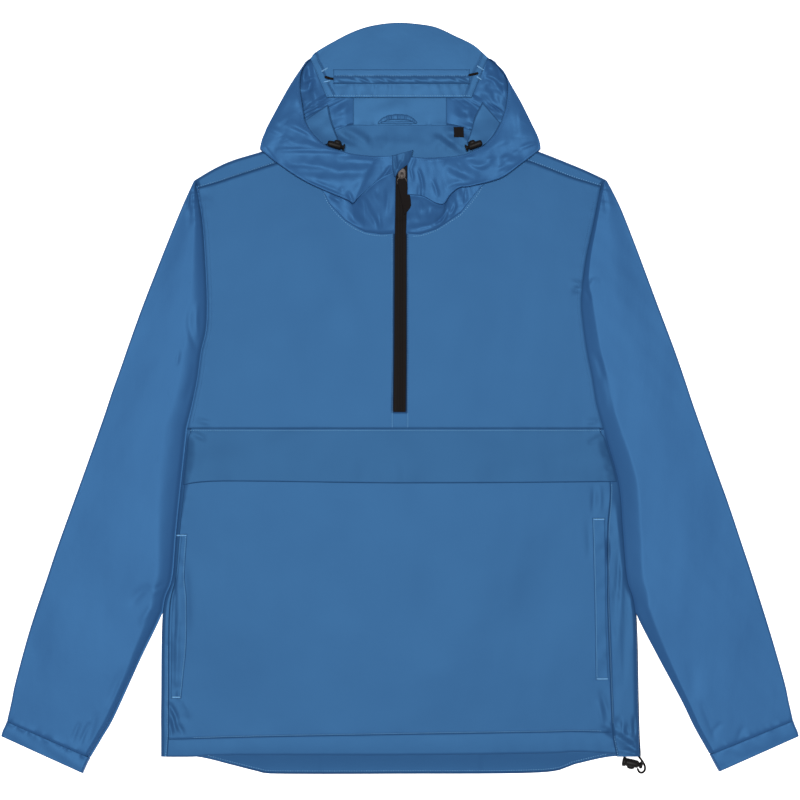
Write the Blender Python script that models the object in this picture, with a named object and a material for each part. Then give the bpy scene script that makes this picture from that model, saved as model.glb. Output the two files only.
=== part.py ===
"""Anorak pullover with a hood, laid flat on its back with its front up.

The garment is built as it is cut and sewn: a back that wraps round to the side seams and over the
shoulders, a yoke with a half zip, a pocket flap over the lower front, two sleeves with cuffs, and a
three-piece hood whose opening lies face up. Each piece is a thin wall of cloth. X runs across the garment,
Y runs from hem to hood and Z rises from the table, which the underside rests on at Z = 0. All the sizes
below are in millimetres.
"""

import math

import bmesh
import bpy
import numpy as np
from mathutils import Matrix, Vector

MM = 0.001

# Driving sizes
CLOTH = 1.2  # one layer of the shell
BAND = 1.8  # cuffs and hem, which are folded double
SEAM = 0.3  # between two pieces that are sewn together
BODY_HEIGHT = 6.0  # from the table to the top of the front
SLEEVE_HEIGHT = 6.2
CUFF_HEIGHT = 7.0
FOLD = 3.0  # outer radius where the cloth turns round a side or a shoulder
ARMPIT_Y = -35.0
YOKE_SEAM_Y = -35.0
END_CROWDING = 0.08  # how much closer the columns of the front lie at its sides
SEAM_RAMP = 6.0  # over which a layer comes up from under the seam above it
LAP = 3.0  # how far the yoke reaches under the hood's neck edge
ZIP_SLIT = 15.0  # width of the opening that shows the zip
ZIP_END_Y = -16.0
TAPE_WIDTH = 19.0
ZIP_SLOPE = 0.134  # rise of the collar beside the zip, for each millimetre towards the rim
COLLAR_SEAM_Y = 195.0
SLIDER_Y = 261.0
SLIDER_BODY = 2.6
BRIDGE_HALF = 1.1
PIN_HEIGHT = 3.9  # of the pull's pin over the slider's underside
RING_LENGTH = 9.0
STRAP_CLOTH = 1.4
HANGER_TAPE = 1.6  # the hanger loop's tape, folded double
LABEL_CLOTH = 1.0
LABEL_CLEARANCE = 0.1
ELASTIC_RADIUS = 1.25
LOCK_LENGTH = 21.0
LOCK_RADIUS = 4.2
CUFF_GATHERS = 9  # pleats in the top of each sleeve where the cuff takes it in
GATHER_RISE = 1.3
HOOD_FOLD_DEPTH = 2.0  # of the folds that run from each shoulder across the hood to the zip

FRONT_UNDER = BODY_HEIGHT - CLOTH
ON_FRONT = BODY_HEIGHT + SEAM
ON_STRIP = CLOTH + SEAM  # on the layer that rests on the table

CLOTH_BLUE = (0.052, 0.163, 0.377)
CLOTH_LIGHT = (0.061, 0.188, 0.400)
BLACK = (0.012, 0.010, 0.010)
METAL = (0.23, 0.21, 0.20)


# ---------------------------------------------------------------- tables of places, from neck to hem

# Side folds of the body below the armpit, with the width of the back that shows in front of each.
SIDES = [
    # y, left fold x, left seam from fold, right fold x, right seam from fold
    (-35, -251, 4, 240, 4),
    (-98, -258, 4, 258, 10),
    (-156, -264, 4, 263, 18),
    (-212, -269, 4, 268, 23),
    (-252, -280, 8, 278, 33),
    (-360, -282, 9, 281, 32),
    (-396, -282, 9, 282, 31),
    (-423, -282, 7, 283, 27),
]

# Armhole seams, from the shoulder down to the armpit.
ARMHOLES = [
    # y, left x, right x
    (262, -238, 236),
    (248, -238, 236),
    (206, -232, 228),
    (163, -229, 219),
    (116, -227, 214),
    (82, -228, 217),
    (55, -234, 221),
    (25, -238, 227),
    (-5, -244, 232),
    (-35, -251, 240),
]

# Shoulders: the fold along the top, and the seam where the back meets the yoke in front of it.
LEFT_SHOULDER = [
    # fold x, fold y, seam x, seam y
    (-242, 258, -238, 248),
    (-220, 271, -216, 254),
    (-198, 281, -192, 262),
    (-165, 291, -158, 273),
    (-130, 302, -127, 283),
    (-92, 313, -97, 293),
]
RIGHT_SHOULDER = [
    # fold x, fold y, seam x, seam y
    (93, 313, 99, 296),
    (130, 302, 126, 287),
    (165, 291, 158, 277),
    (203, 276, 200, 261),
    (222, 268, 219, 255),
    (243, 258, 236, 250),
]

BACK_NECK = [(-77, 318.2), (-54, 322.6), (-27, 323), (0, 323), (27, 323), (54, 322.6), (77, 318.2)]
FRONT_NECK_LEFT = [(-97, 292), (-94, 270), (-89, 248), (-83, 231), (-63, 209), (-41, 197), (-22, 194),
                   (-7.5, 195)]
FRONT_NECK_RIGHT = [(7.5, 194), (23, 194), (42, 200), (59, 211), (72, 220), (94, 248), (98, 272), (99, 295)]

BACK_HEM = [(-290, -423), (-241, -423), (-198, -433), (-166, -441), (-142, -443.5), (0, -443.5), (165, -442),
            (207, -432), (249, -423), (290, -423)]
FRONT_HEM = [(-290, -423), (-242, -423), (-198, -421), (0, -421), (165, -419), (207, -417), (256, -420),
             (290, -421)]
HEM_STITCH = [(-290, -402), (-261, -402), (-142, -399), (165, -394), (203, -393), (290, -395)]
FLAP_EDGE = [(-290, -103), (-262, -103), (-209, -98), (-33, -100), (85, -100), (214, -99), (290, -98)]

# Sleeves: the outer fold, then the inner side, which follows the armhole seam down to the armpit, lies
# beside the body's side fold below it, and lies free further down. None stands for the body's own x there.
LEFT_SLEEVE = [
    # outer x, outer y, inner x, inner y
    (-243.5, 257, -239.7, 249.3),
    (-250, 243, None, 237),
    (-258, 225, None, 206),
    (-274, 186, None, 163),
    (-291, 143, None, 116),
    (-306, 104, None, 82),
    (-320, 65, None, 55),
    (-330, 36, None, 25),
    (-340, 8, None, -5),
    (-350, -22, None, -35),
    (-369, -76, None, -98),
    (-387, -126, None, -156),
    (-405, -176, None, -212),
    (-417, -212, None, -252),
    (-437, -272, -307, -309),
    (-454, -334, -337, -375),
    (-459, -358, -351, -399.5),
    (-464, -380, -365, -423),
]
RIGHT_SLEEVE = [
    # outer x, outer y, inner x, inner y
    (244.5, 257, 237.6, 250.2),
    (252, 243, None, 237),
    (262, 222, None, 206),
    (277, 184, None, 163),
    (292, 144, None, 116),
    (305, 109, None, 82),
    (316, 80, None, 55),
    (326, 53, None, 25),
    (336, 24, None, -5),
    (348, -12, None, -35),
    (370, -74, None, -98),
    (388, -124, None, -156),
    (405, -175, None, -212),
    (416, -208, None, -252),
    (437, -275, 302, -300),
    (454, -334, 332, -356),
    (459, -357, 347, -387),
    (464, -379, 365, -419),
]
OPEN_ROWS = 9  # rows whose inner side is the armhole seam; the rest are whole tubes
LEFT_CUFF = [
    # outer x, outer y, inner x, inner y
    (-464.3, -380.9, -365.4, -424.2),
    (-466.5, -386.5, -368.5, -430),
    (-469.5, -393, -371.5, -436.5),
    (-471, -398.5, -374, -442.5),
]
RIGHT_CUFF = [
    # outer x, outer y, inner x, inner y
    (464.3, -379.9, 365.4, -420.2),
    (466.5, -386, 369, -427),
    (469.5, -393, 373, -434.5),
    (471, -398.5, 376.5, -440.5),
]

# Hood sides: the edge of the face opening, the fold on the outline, and the hidden end under it, from the
# brim round to the zip. Heights are the middle of the cloth. Rows beside the shoulder rest on the table, and
# rows in front of it rest on the yoke.
HOOD_COLUMNS = ("edge_x", "edge_y", "edge_z", "crest_z", "fold_x", "fold_y", "lip_z", "base_z", "tuck",
                "end_x", "end_y", "end_z")
LEFT_HOOD_TABLE_ROWS = [
    (-110, 396, 7.0, 8.5, -115.5, 394, 4.6, 0.7, 1.0, -106.4, 398.5, 3.4),
    (-116, 386, 11, 12.5, -127, 373, 5.5, 0.7, 1.0, -100.5, 385, 4.9),
    (-118, 367, 15, 16.5, -140, 350, 6.5, 0.7, 1.0, -94.6, 371, 6.2),
    (-115, 345, 18, 19.5, -156, 320, 8.0, 0.7, 1.0, -89.5, 359, 6.9),
    (-113.5, 336, 19, 20.5, -159, 313, 8.5, 0.7, 1.0, -89.0, 351.5, 3.5),
    (-112, 327, 20, 21.5, -162, 306, 9.0, 0.7, 1.0, -55.0, 351.5, 0.7),
    (-107, 318, 20.5, 22, -164, 299, 9.0, 0.7, 1.0, -55.0, 324.5, 0.7),
    (-101, 310, 21, 22, -165, 293.5, 9.0, 0.7, 1.0, -77, 320.6, 0.7),
]
LEFT_HOOD_FRONT_ROWS = [
    (-101, 310, 21, 22, -165, 293.5, 9.0, 7.0, 1.0, -97, 294, 7.0),
    (-88, 298, 21.5, 22.5, -146, 278, 10.5, 7.0, 1.0, -95, 273, 7.0),
    (-66, 290, 21.5, 22.5, -118, 259, 12.0, 7.0, 1.0, -90, 249, 7.0),
    (-52, 287, 21, 22.5, -92, 246, 13.0, 7.2, 0.7, -84, 231, 7.0),
    (-36, 285, 20.5, 22, -62, 234, 14.5, 8.2, 0.3, -63, 209, 7.0),
    (-24, 285, 20, 20.5, -43, 243, 15.5, 11.0, 0.1, -41, 197, 7.0),
    (-14, 285, 19.6, 19.5, -26, 258, 17.0, 14.5, 0.0, -22, 194.2, 7.0),
    (-7.8, 285, 19.6, 18.8, -9.5, 267, 17.3, 16.6, 0.0, -7.8, 195, 7.0),
]
RIGHT_HOOD_TABLE_ROWS = [
    (112, 396, 7.0, 8.5, 117.5, 394, 4.6, 0.7, 1.0, 104.4, 399, 3.4),
    (123, 384, 11, 12.5, 127, 375, 5.5, 0.7, 1.0, 98.0, 384, 4.9),
    (127, 367, 15, 16.5, 141, 351, 6.5, 0.7, 1.0, 92.6, 371, 6.3),
    (125, 345, 18, 19.5, 156, 321, 8.0, 0.7, 1.0, 87.6, 359, 7.0),
    (121, 336, 19, 20.5, 160, 313, 8.5, 0.7, 1.0, 87.0, 351.5, 3.5),
    (117, 327, 20, 21.5, 163, 306, 9.0, 0.7, 1.0, 55.0, 351.5, 0.7),
    (109, 316, 20.5, 22, 165, 299, 9.0, 0.7, 1.0, 55.0, 324.5, 0.7),
    (98, 303, 21, 22, 165.5, 293.5, 9.0, 0.7, 1.0, 77, 320.6, 0.7),
]
RIGHT_HOOD_FRONT_ROWS = [
    (98, 303, 21, 22, 165.5, 293.5, 9.0, 7.0, 1.0, 99, 297, 7.0),
    (78, 292, 21.5, 22.5, 140, 274, 10.5, 7.0, 1.0, 98, 273, 7.0),
    (65, 287, 21.5, 22.5, 118, 259, 12.0, 7.0, 1.0, 94, 249, 7.0),
    (53, 284, 21, 22.5, 84, 250, 13.0, 7.2, 0.7, 72, 220, 7.0),
    (42, 283, 20.5, 22, 59, 233, 14.5, 8.2, 0.3, 59, 211, 7.0),
    (30, 283, 20, 20.5, 41, 234, 15.5, 11.0, 0.1, 42, 200, 7.0),
    (17, 284, 19.6, 19.0, 28, 246, 15.5, 12.5, 0.0, 23, 194.2, 7.0),
    (7.8, 285, 19.6, 18.6, 9.5, 262, 16.6, 15.9, 0.0, 7.8, 195, 7.0),
]
# Stations across a hood side: how far from the opening edge to the fold, and how high between lip and crest.
OVER_THE_TOP = [(0.0, None), (0.22, 1.0), (0.5, 0.97), (0.78, 0.8), (0.94, 0.4)]

BRIM_EDGE = [(-106, 401), (-99, 409), (-77, 422), (-55, 433), (-33, 440), (-5, 443.5), (21, 442), (43, 438),
             (65, 428), (87, 417), (104, 402)]
BRIM_HEM_Y = 355.0
BRIM_HEM = (-86.5, 84.5)
BRIM_LOW = 2.6  # underside of the brim at the outline
BRIM_HIGH = 9.0  # and at its hem, over the folded crown
BRIM_REACH_X = 118.0
BRIM_REACH_Y = 88.5
BRIM_CLOTH = 1.5
CASING_X = (-78.5, 82.0)
CASING_Y = (371.0, 388.0)
STRIP_HALF = 54.0  # the centre strip between the hood's sides
SPARE = np.array([-20.0, -10.0])  # columns beyond the strip's edges, which only the crown above it has
NECK_SEAM_Y = 323.5


# Pocket welts, which are strips on the front beside its side seams.
LEFT_WELT = [
    # y, left x, right x
    (-160, -257.5, -251),
    (-207, -262.5, -254),
    (-240, -268, -251.5),
    (-291, -270, -252),
    (-323, -270, -255),
    (-354, -270.5, -258),
]
RIGHT_WELT = [
    # y, left x, right x
    (-141, 227, 242),
    (-217, 229, 243),
    (-265, 230, 243.5),
    (-332, 231, 246),
]
WELT_CLOTH = 1.0

# Facings turned in along the face opening.
LEFT_FACING = [
    # outer x, y and z, then inner x, y and z
    (-112.5, 326.5, 19.2, -85, 346, 11),
    (-107.5, 317.5, 19.3, -81, 327, 10),
    (-100.5, 309, 19.3, -77, 315, 10),
    (-89, 298, 19.3, -73, 304, 11),
]
RIGHT_FACING = [
    # outer x, y and z, then inner x, y and z
    (118, 327.5, 18.6, 97, 349, 11),
    (111, 316.5, 18.8, 88, 331, 10),
    (105, 309, 18.8, 85, 318, 10),
    (99, 302.5, 18.9, 79, 303, 9.5),
]

# Elastic where it shows: from the brim's seams into its casing, and the loop at the hem's lock.
LEFT_ELASTIC = [(-86.5, 378.5), (-83, 377.8), (-79, 376.8)]
RIGHT_ELASTIC = [(82.5, 381.5), (86, 382.2), (90, 383)]
HEM_CORD = [(281.0, -424.9, 3.0), (285.5, -426.2, 3.0), (288.8, -429.5, 3.0), (289.8, -434.0, 3.0),
            (287.6, -438.6, 3.0), (282.8, -440.0, 3.2)]


# ---------------------------------------------------------------- helpers


def material(name, colour, roughness, metallic=0.0):
    made = bpy.data.materials.new(name)
    made.use_nodes = True
    shader = made.node_tree.nodes["Principled BSDF"]
    shader.inputs["Base Color"].default_value = (*colour, 1.0)
    shader.inputs["Roughness"].default_value = roughness
    shader.inputs["Metallic"].default_value = metallic
    return made


def make_object(name, points, faces, finish, smooth=True):
    """A mesh object from points in millimetres, with its faces turned outwards."""
    mesh = bpy.data.meshes.new(name)
    mesh.from_pydata([tuple(p) for p in np.asarray(points) * MM], [], [tuple(f) for f in faces])
    shape = bmesh.new()
    shape.from_mesh(mesh)
    bmesh.ops.recalc_face_normals(shape, faces=shape.faces)
    if shape.calc_volume(signed=True) < 0:
        bmesh.ops.reverse_faces(shape, faces=shape.faces)
    shape.to_mesh(mesh)
    shape.free()
    if smooth:
        mesh.shade_smooth()
        mesh.set_sharp_from_angle(angle=math.radians(40))
    mesh.materials.append(finish)
    made = bpy.data.objects.new(name, mesh)
    bpy.context.scene.collection.objects.link(made)
    return made


def wall(name, outer, inner, finish, keep=None):
    """A closed solid between two grids of points that match one to one.

    Cells that keep leaves out are holes. Points that meet in both grids are made one, so a grid whose first
    and last columns coincide closes into a tube, and every edge that is left gets a rim.
    """
    rows, columns = outer.shape[:2]
    pairs = np.concatenate([outer, inner], axis=2).reshape(-1, 6)
    _, first, index = np.unique(np.round(pairs, 4), axis=0, return_index=True, return_inverse=True)
    number = index.reshape(rows, columns)
    cells = np.stack([number[:-1, :-1], number[:-1, 1:], number[1:, 1:], number[1:, :-1]], axis=-1)
    cells = cells[keep] if keep is not None else cells.reshape(-1, 4)
    count = len(first)
    skin = []
    for cell in cells.tolist():
        ring = [p for k, p in enumerate(cell) if p != cell[k - 1]]
        if len(set(ring)) >= 3:
            skin.append(ring)
    edges = {(ring[k - 1], ring[k]) for ring in skin for k in range(len(ring))}
    faces = skin + [[p + count for p in reversed(ring)] for ring in skin]
    faces += [[b, a, a + count, b + count] for a, b in sorted(edges) if (b, a) not in edges]
    points = np.concatenate([pairs[first, :3], pairs[first, 3:]])
    used = sorted({p for face in faces for p in face})
    place = {p: k for k, p in enumerate(used)}
    return make_object(name, points[used], [[place[p] for p in face] for face in faces], finish)


def flat_wall(name, plan, under, thickness, finish, keep=None):
    """A wall over a plan grid: under is the height of its lower side, one number or a grid of them."""
    low = np.dstack([plan, np.broadcast_to(under, plan.shape[:2])])
    high = low + (0.0, 0.0, thickness)
    return wall(name, high, low, finish, keep)


def along(table, x):
    """The table's second column at x, along straight lines between its rows."""
    rows = np.asarray(table, float)
    order = np.argsort(rows[:, 0])
    return np.interp(x, rows[order, 0], rows[order, 1])


def spline(rows, steps):
    """A smooth curve through every row, with the given number of steps between two rows (Catmull-Rom)."""
    rows = np.asarray(rows, float)
    padded = np.concatenate([2 * rows[:1] - rows[1:2], rows, 2 * rows[-1:] - rows[-2:-1]])
    pieces = []
    for k in range(len(rows) - 1):
        before, start, end, after = padded[k:k + 4]
        for t in np.arange(steps) / steps:
            pieces.append(0.5 * (2 * start + (end - before) * t
                                 + (2 * before - 5 * start + 4 * end - after) * t ** 2
                                 + (3 * start - before - 3 * end + after) * t ** 3))
    return np.array(pieces + [rows[-1]])


def left_edge(y):
    """Where the body's left side lies: the armhole seam, then the side fold."""
    return np.where(y > ARMPIT_Y, along([r[:2] for r in ARMHOLES], y), along([r[:2] for r in SIDES], y))


def right_edge(y):
    return np.where(y > ARMPIT_Y, along([(r[0], r[2]) for r in ARMHOLES], y),
                    along([(r[0], r[3]) for r in SIDES], y))


def left_seam(y):
    return along([(r[0], r[1] + r[2]) for r in SIDES], y)


def right_seam(y):
    return along([(r[0], r[3] - r[4]) for r in SIDES], y)


def armhole_shares(start_y):
    """How far down from start_y to the armpit each row of the armhole table lies."""
    lower = [row[0] for row in ARMHOLES if row[0] < start_y - 1]
    return [0.0] + [(start_y - y) / (start_y - ARMPIT_Y) for y in lower]


def fold_profile(reach, height, thickness):
    """A fold in section, from the end of its top layer round to the table: inward distance and height, twice.

    The outer line is a half circle between two flat layers and the inner one lies one thickness inside it.
    """
    radius = height / 2
    turns = np.radians([90, 130, 180, 230, 270])
    lines = []
    for r in (radius, radius - thickness):
        arc = [(radius + r * math.cos(a), radius + r * math.sin(a)) for a in turns]
        lines.append([(reach, arc[0][1])] + arc)
    return np.array(lines)


# ---------------------------------------------------------------- body


def back(finish):
    """The back: a flat sheet that turns up at both sides and over both shoulders."""
    shoulders = np.array(LEFT_SHOULDER + RIGHT_SHOULDER, float)
    fold, seam = shoulders[:, :2], shoulders[:, 2:]
    inward = (seam - fold) / np.linalg.norm(seam - fold, axis=1)[:, None]
    start = fold + FOLD * inward
    neck = np.array(BACK_NECK, float)
    half = len(LEFT_SHOULDER)
    top = np.concatenate([start[:half], neck, start[half:]])
    width = right_edge(top[:, 1]) - left_edge(top[:, 1]) - 2 * FOLD
    share = (top[:, 0] - left_edge(top[:, 1]) - FOLD) / width
    share[0], share[-1] = 0.0, 1.0

    down = armhole_shares(top[0, 1])
    plan = []
    for v in down:
        y = top[:, 1] + v * (ARMPIT_Y - top[:, 1])
        x = left_edge(y) + FOLD + share * (right_edge(y) - left_edge(y) - 2 * FOLD)
        if v == 0:
            x = top[:, 0]
        plan.append(np.stack([x, y], axis=-1))
    for y in [row[0] for row in SIDES[1:-1]]:
        level = np.full(len(share), float(y))
        x = left_edge(level) + FOLD + share * (right_edge(level) - left_edge(level) - 2 * FOLD)
        plan.append(np.stack([x, level], axis=-1))
    x = left_edge(-423.0) + FOLD + share * (right_edge(-423.0) - left_edge(-423.0) - 2 * FOLD)
    plan.append(np.stack([x, along(BACK_HEM, x)], axis=-1))
    plan = np.array(plan)
    rows, columns = plan.shape[:2]

    # layer 0 is the outside of the cloth and layer 1 the inside
    profile_size = len(fold_profile(1, BODY_HEIGHT, CLOTH)[0]) - 1
    grids = []
    for layer in (0, 1):
        sheet = np.dstack([plan, np.full((rows, columns), CLOTH * layer)])
        over = np.zeros((profile_size, columns, 3))
        over[:] = sheet[0]
        for k in list(range(half)) + list(range(columns - half, columns)):
            at = k if k < half else k - len(neck)
            reach = np.linalg.norm(seam[at] - fold[at])
            line = fold_profile(reach, BODY_HEIGHT, CLOTH)[layer][:-1]
            over[:, k, :2] = fold[at] + line[:, :1] * inward[at]
            over[:, k, 2] = line[:, 1]
        sheet = np.concatenate([over, sheet])
        sides = []
        for side, column, sign in ((left_edge, 0, 1), (right_edge, -1, -1)):
            strip = np.repeat(sheet[:, column][:, None], profile_size, axis=1)
            for row in range(len(sheet)):
                y = sheet[row, column, 1]
                if y > ARMPIT_Y + 0.01:
                    continue
                seam_x = left_seam(y) if sign > 0 else right_seam(y)
                line = fold_profile(abs(seam_x - side(y)), BODY_HEIGHT, CLOTH)[layer][:-1]
                strip[row, :, 0] = side(y) + sign * line[:, 0]
                strip[row, :, 2] = line[:, 1]
            sides.append(strip)
        grids.append(np.concatenate([sides[0], sheet, sides[1][:, ::-1]], axis=1))
    outer, inner = grids

    keep = np.ones((outer.shape[0] - 1, outer.shape[1] - 1), bool)
    armpit = profile_size + len(down) - 1
    keep[:armpit, :profile_size] = False
    keep[:armpit, -profile_size:] = False
    first_neck = profile_size + half - 1
    keep[:profile_size, first_neck:first_neck + len(neck) + 1] = False
    return wall("back", outer, inner, finish, keep)


def front_yoke(finish):
    """The upper front, from the shoulder seams to the seam above the pocket, slit for the zip."""
    left = [(r[2], r[3]) for r in LEFT_SHOULDER] + [(x + LAP, y + LAP) for x, y in FRONT_NECK_LEFT[1:]]
    right = [(x - LAP, y + LAP) for x, y in FRONT_NECK_RIGHT[:-1]] + [(r[2], r[3]) for r in RIGHT_SHOULDER]
    top = np.array(left + right, float)
    half_slit = ZIP_SLIT / 2
    top[len(left) - 1, 0] = -half_slit
    top[len(left), 0] = half_slit
    top[:, 1] -= SEAM
    top[0, 0] = left_edge(top[0, 1])
    top[-1, 0] = right_edge(top[-1, 1])
    share = (top[:, 0] - left_edge(top[:, 1])) / (right_edge(top[:, 1]) - left_edge(top[:, 1]))
    bottom = YOKE_SEAM_Y
    down = armhole_shares(top[0, 1])
    plan = []
    for v in down[:-1] + [None, 1.0]:
        y = np.full(len(top), ZIP_END_Y) if v is None else top[:, 1] + v * (bottom - top[:, 1])
        x = left_edge(y) + share * (right_edge(y) - left_edge(y))
        slit = len(left)
        x[slit - 1], x[slit] = -half_slit, half_slit
        if v == 0:
            x = top[:, 0]
        plan.append(np.stack([x, y], axis=-1))
    plan = np.array(plan)
    keep = np.ones((plan.shape[0] - 1, plan.shape[1] - 1), bool)
    keep[:-1, len(left) - 1] = False
    return flat_wall("front_yoke", plan, FRONT_UNDER, CLOTH, finish, keep)


def across(left, right, count):
    """Points from left to right in even steps, closer at the ends."""
    t = np.linspace(0, 1, count)
    t = t - END_CROWDING * np.sin(2 * math.pi * t)
    return left + (right - left) * t


def seam_ramp(y):
    """How far the layers under the yoke's seam have come up to their own level: 0 at the seam, 1 past it."""
    return np.clip((YOKE_SEAM_Y - SEAM - y) / SEAM_RAMP, 0.0, 1.0)


def front_lower(finish):
    """The lower front, from under the flap to the hem's stitching."""
    levels = [YOKE_SEAM_Y - SEAM, YOKE_SEAM_Y - SEAM - SEAM_RAMP, -98, -156, -212, -252, -360]
    plan = []
    for level in levels:
        x = across(left_seam(level) + SEAM, right_seam(level) - SEAM, 12)
        plan.append(np.stack([x, np.full(len(x), level)], axis=-1))
    x = across(left_seam(-396.0) + SEAM, right_seam(-394.0) - SEAM, 12)
    plan.append(np.stack([x, along(HEM_STITCH, x) + SEAM], axis=-1))
    plan = np.array(plan)
    drop = CLOTH + SEAM
    under = FRONT_UNDER - drop * (1 - seam_ramp(plan[..., 1]))
    return flat_wall("front_lower", plan, under, CLOTH, finish)


def front_hem(finish):
    """The hem of the front, turned up into a tunnel for its cord."""
    plan = []
    for v in (0.0, 0.5, 1.0):
        x = across(left_seam(-410.0) + SEAM, right_seam(-410.0) - SEAM, 12)
        y = along(HEM_STITCH, x) + v * (along(FRONT_HEM, x) - along(HEM_STITCH, x))
        x = x + (left_seam(y) - left_seam(-410.0)) * (x < 0) + (right_seam(y) - right_seam(-410.0)) * (x > 0)
        plan.append(np.stack([x, y], axis=-1))
    return flat_wall("front_hem", np.array(plan), FRONT_UNDER - 0.3, BAND, finish)


def pocket_flap(finish):
    """The flap over the lower front, sewn in under the yoke and loose along its lower edge."""
    top = YOKE_SEAM_Y - SEAM
    plan = []
    for v in (0.0, 0.1, 0.4, 0.7, 0.92, 1.0):
        inset = 2.0 if v > 0.1 else 0.0
        y_mid = top + v * (-100.0 - top)
        narrow_left = left_seam(y_mid) + SEAM if v <= 0.1 else left_edge(y_mid) + inset
        narrow_right = right_seam(y_mid) - SEAM if v <= 0.1 else right_edge(y_mid) - inset
        x = across(narrow_left, narrow_right, 12)
        y = top + v * (along(FLAP_EDGE, x) - top)
        plan.append(np.stack([x, y], axis=-1))
    plan = np.array(plan)
    under = FRONT_UNDER + (CLOTH + SEAM) * seam_ramp(plan[..., 1])
    return flat_wall("pocket_flap", plan, under, CLOTH, finish)


def strip(name, rows, under, thickness, finish):
    """A narrow flat piece, from rows of (y, left x, right x)."""
    plan = [[(left + (right - left) * t, y) for t in (0.0, 0.5, 1.0)] for y, left, right in rows]
    return flat_wall(name, np.array(plan, float), under, thickness, finish)


# ---------------------------------------------------------------- sleeves


def tube(name, table, height, thickness, finish, open_rows=0, gathers=0):
    """A flattened sleeve: a row of the table gives its outer and inner fold.

    Each section is a flat ring with round ends. In the first open_rows the ring is open on its inner side,
    where the top layer ends at the armhole seam and the under layer a fold's radius further in. Gathers are
    pleats that rise in the top layer between the last row but one and the last.
    """
    radius = height / 2
    turns = np.radians([180, 130, 90])
    ends = len(turns)
    spread = np.linspace(0.06, 0.94, 2 * gathers + 1) if gathers else np.array([0.1, 0.3, 0.5, 0.7, 0.9])
    pleat = GATHER_RISE * (np.arange(len(spread)) % 2) if gathers else 0 * spread
    grids = []
    for r in (radius, radius - thickness):
        rows = []
        for number, (ox, oy, ix, iy) in enumerate(table):
            outer_fold, inner_fold = np.array([ox, oy], float), np.array([ix, iy], float)
            width = np.linalg.norm(inner_fold - outer_fold)
            toward = (inner_fold - outer_fold) / width
            top = [(radius + r * math.cos(a), radius + r * math.sin(a)) for a in turns]
            flat = radius + (width - 2 * radius) * spread
            swell = pleat if number == len(table) - 1 else 0 * pleat
            top += [(d, radius + r + s) for d, s in zip(flat, swell)]
            if number < open_rows:
                top += [(width - 2 * r / 3, radius + r), (width - r / 3, radius + r), (width, radius + r)]
            else:
                top += [(width - d, z) for d, z in top[:ends][::-1]]
            low = [(d, 2 * radius - z) for d, z in top]
            low[ends:-ends] = [(d, radius - r) for d in flat]
            if number < open_rows:
                reach = width + FOLD - SEAM
                low[-ends:] = [(width - 1, radius - r), (width + 1, radius - r), (reach, radius - r)]
            line = top[::-1] + low[1:]
            rows.append([(*(outer_fold + d * toward), z) for d, z in line])
        grids.append(np.array(rows))
    return wall(name, grids[0], grids[1], finish)


def beside_body(table, edge, sign):
    """The sleeve's rows with their inner side a seam's gap off the body, and twice that at its side fold."""
    rows = []
    for number, (outer_x, outer_y, inner_x, inner_y) in enumerate(table):
        gap = SEAM if number < OPEN_ROWS else 2 * SEAM
        inner_x = float(edge(inner_y)) + sign * gap if inner_x is None else inner_x
        rows.append((outer_x, outer_y, inner_x, inner_y))
    return rows


# ---------------------------------------------------------------- hood


def hood_section(row):
    """One section of a hood side, from the opening edge to the hidden end, along the middle of its cloth."""
    value = dict(zip(HOOD_COLUMNS, row))
    edge = np.array([value["edge_x"], value["edge_y"]])
    fold = np.array([value["fold_x"], value["fold_y"]])
    end = np.array([value["end_x"], value["end_y"]])
    lip, crest, base, tuck = value["lip_z"], value["crest_z"], value["base_z"], value["tuck"]
    points = []
    for share, rise in OVER_THE_TOP:
        height = value["edge_z"] if rise is None else lip + (crest - lip) * rise
        points.append([*(edge + (fold - edge) * share), height])
    points.append([*fold, base + (lip - base) * 0.55])
    out = end - fold
    inward = (edge - fold) / np.linalg.norm(edge - fold)
    onward = out / np.linalg.norm(out)
    low = fold + tuck * 1.5 * inward + (1 - tuck) * 1.5 * onward
    under = fold + tuck * 7.0 * inward + (1 - tuck) * 7.0 * onward
    points.append([*low, base + (lip - base) * 0.12])
    points.append([*under, base + (value["end_z"] - base) * 0.05])
    points.append([*(under + (end - under) * 0.5), base + (value["end_z"] - base) * 0.5])
    points.append([*end, value["end_z"]])
    return points


def grid_normals(grid):
    """Unit normals of a grid of points, from the differences along its rows and its columns."""
    along_rows = np.gradient(grid, axis=0)
    along_columns = np.gradient(grid, axis=1)
    normal = np.cross(along_rows, along_columns)
    return normal / np.linalg.norm(normal, axis=2)[..., None]


def hood_folds(count, columns, steps):
    """Troughs between the stations of the hood's front, deepest halfway from the shoulder to the zip."""
    share = np.linspace(0, 1, count)[:, None]
    trough = (np.arange(columns) % steps == 1) & (np.arange(columns) < (len(OVER_THE_TOP) - 1) * steps)
    return HOOD_FOLD_DEPTH * np.sin(math.pi * share) ** 0.7 * trough[None, :]


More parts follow.
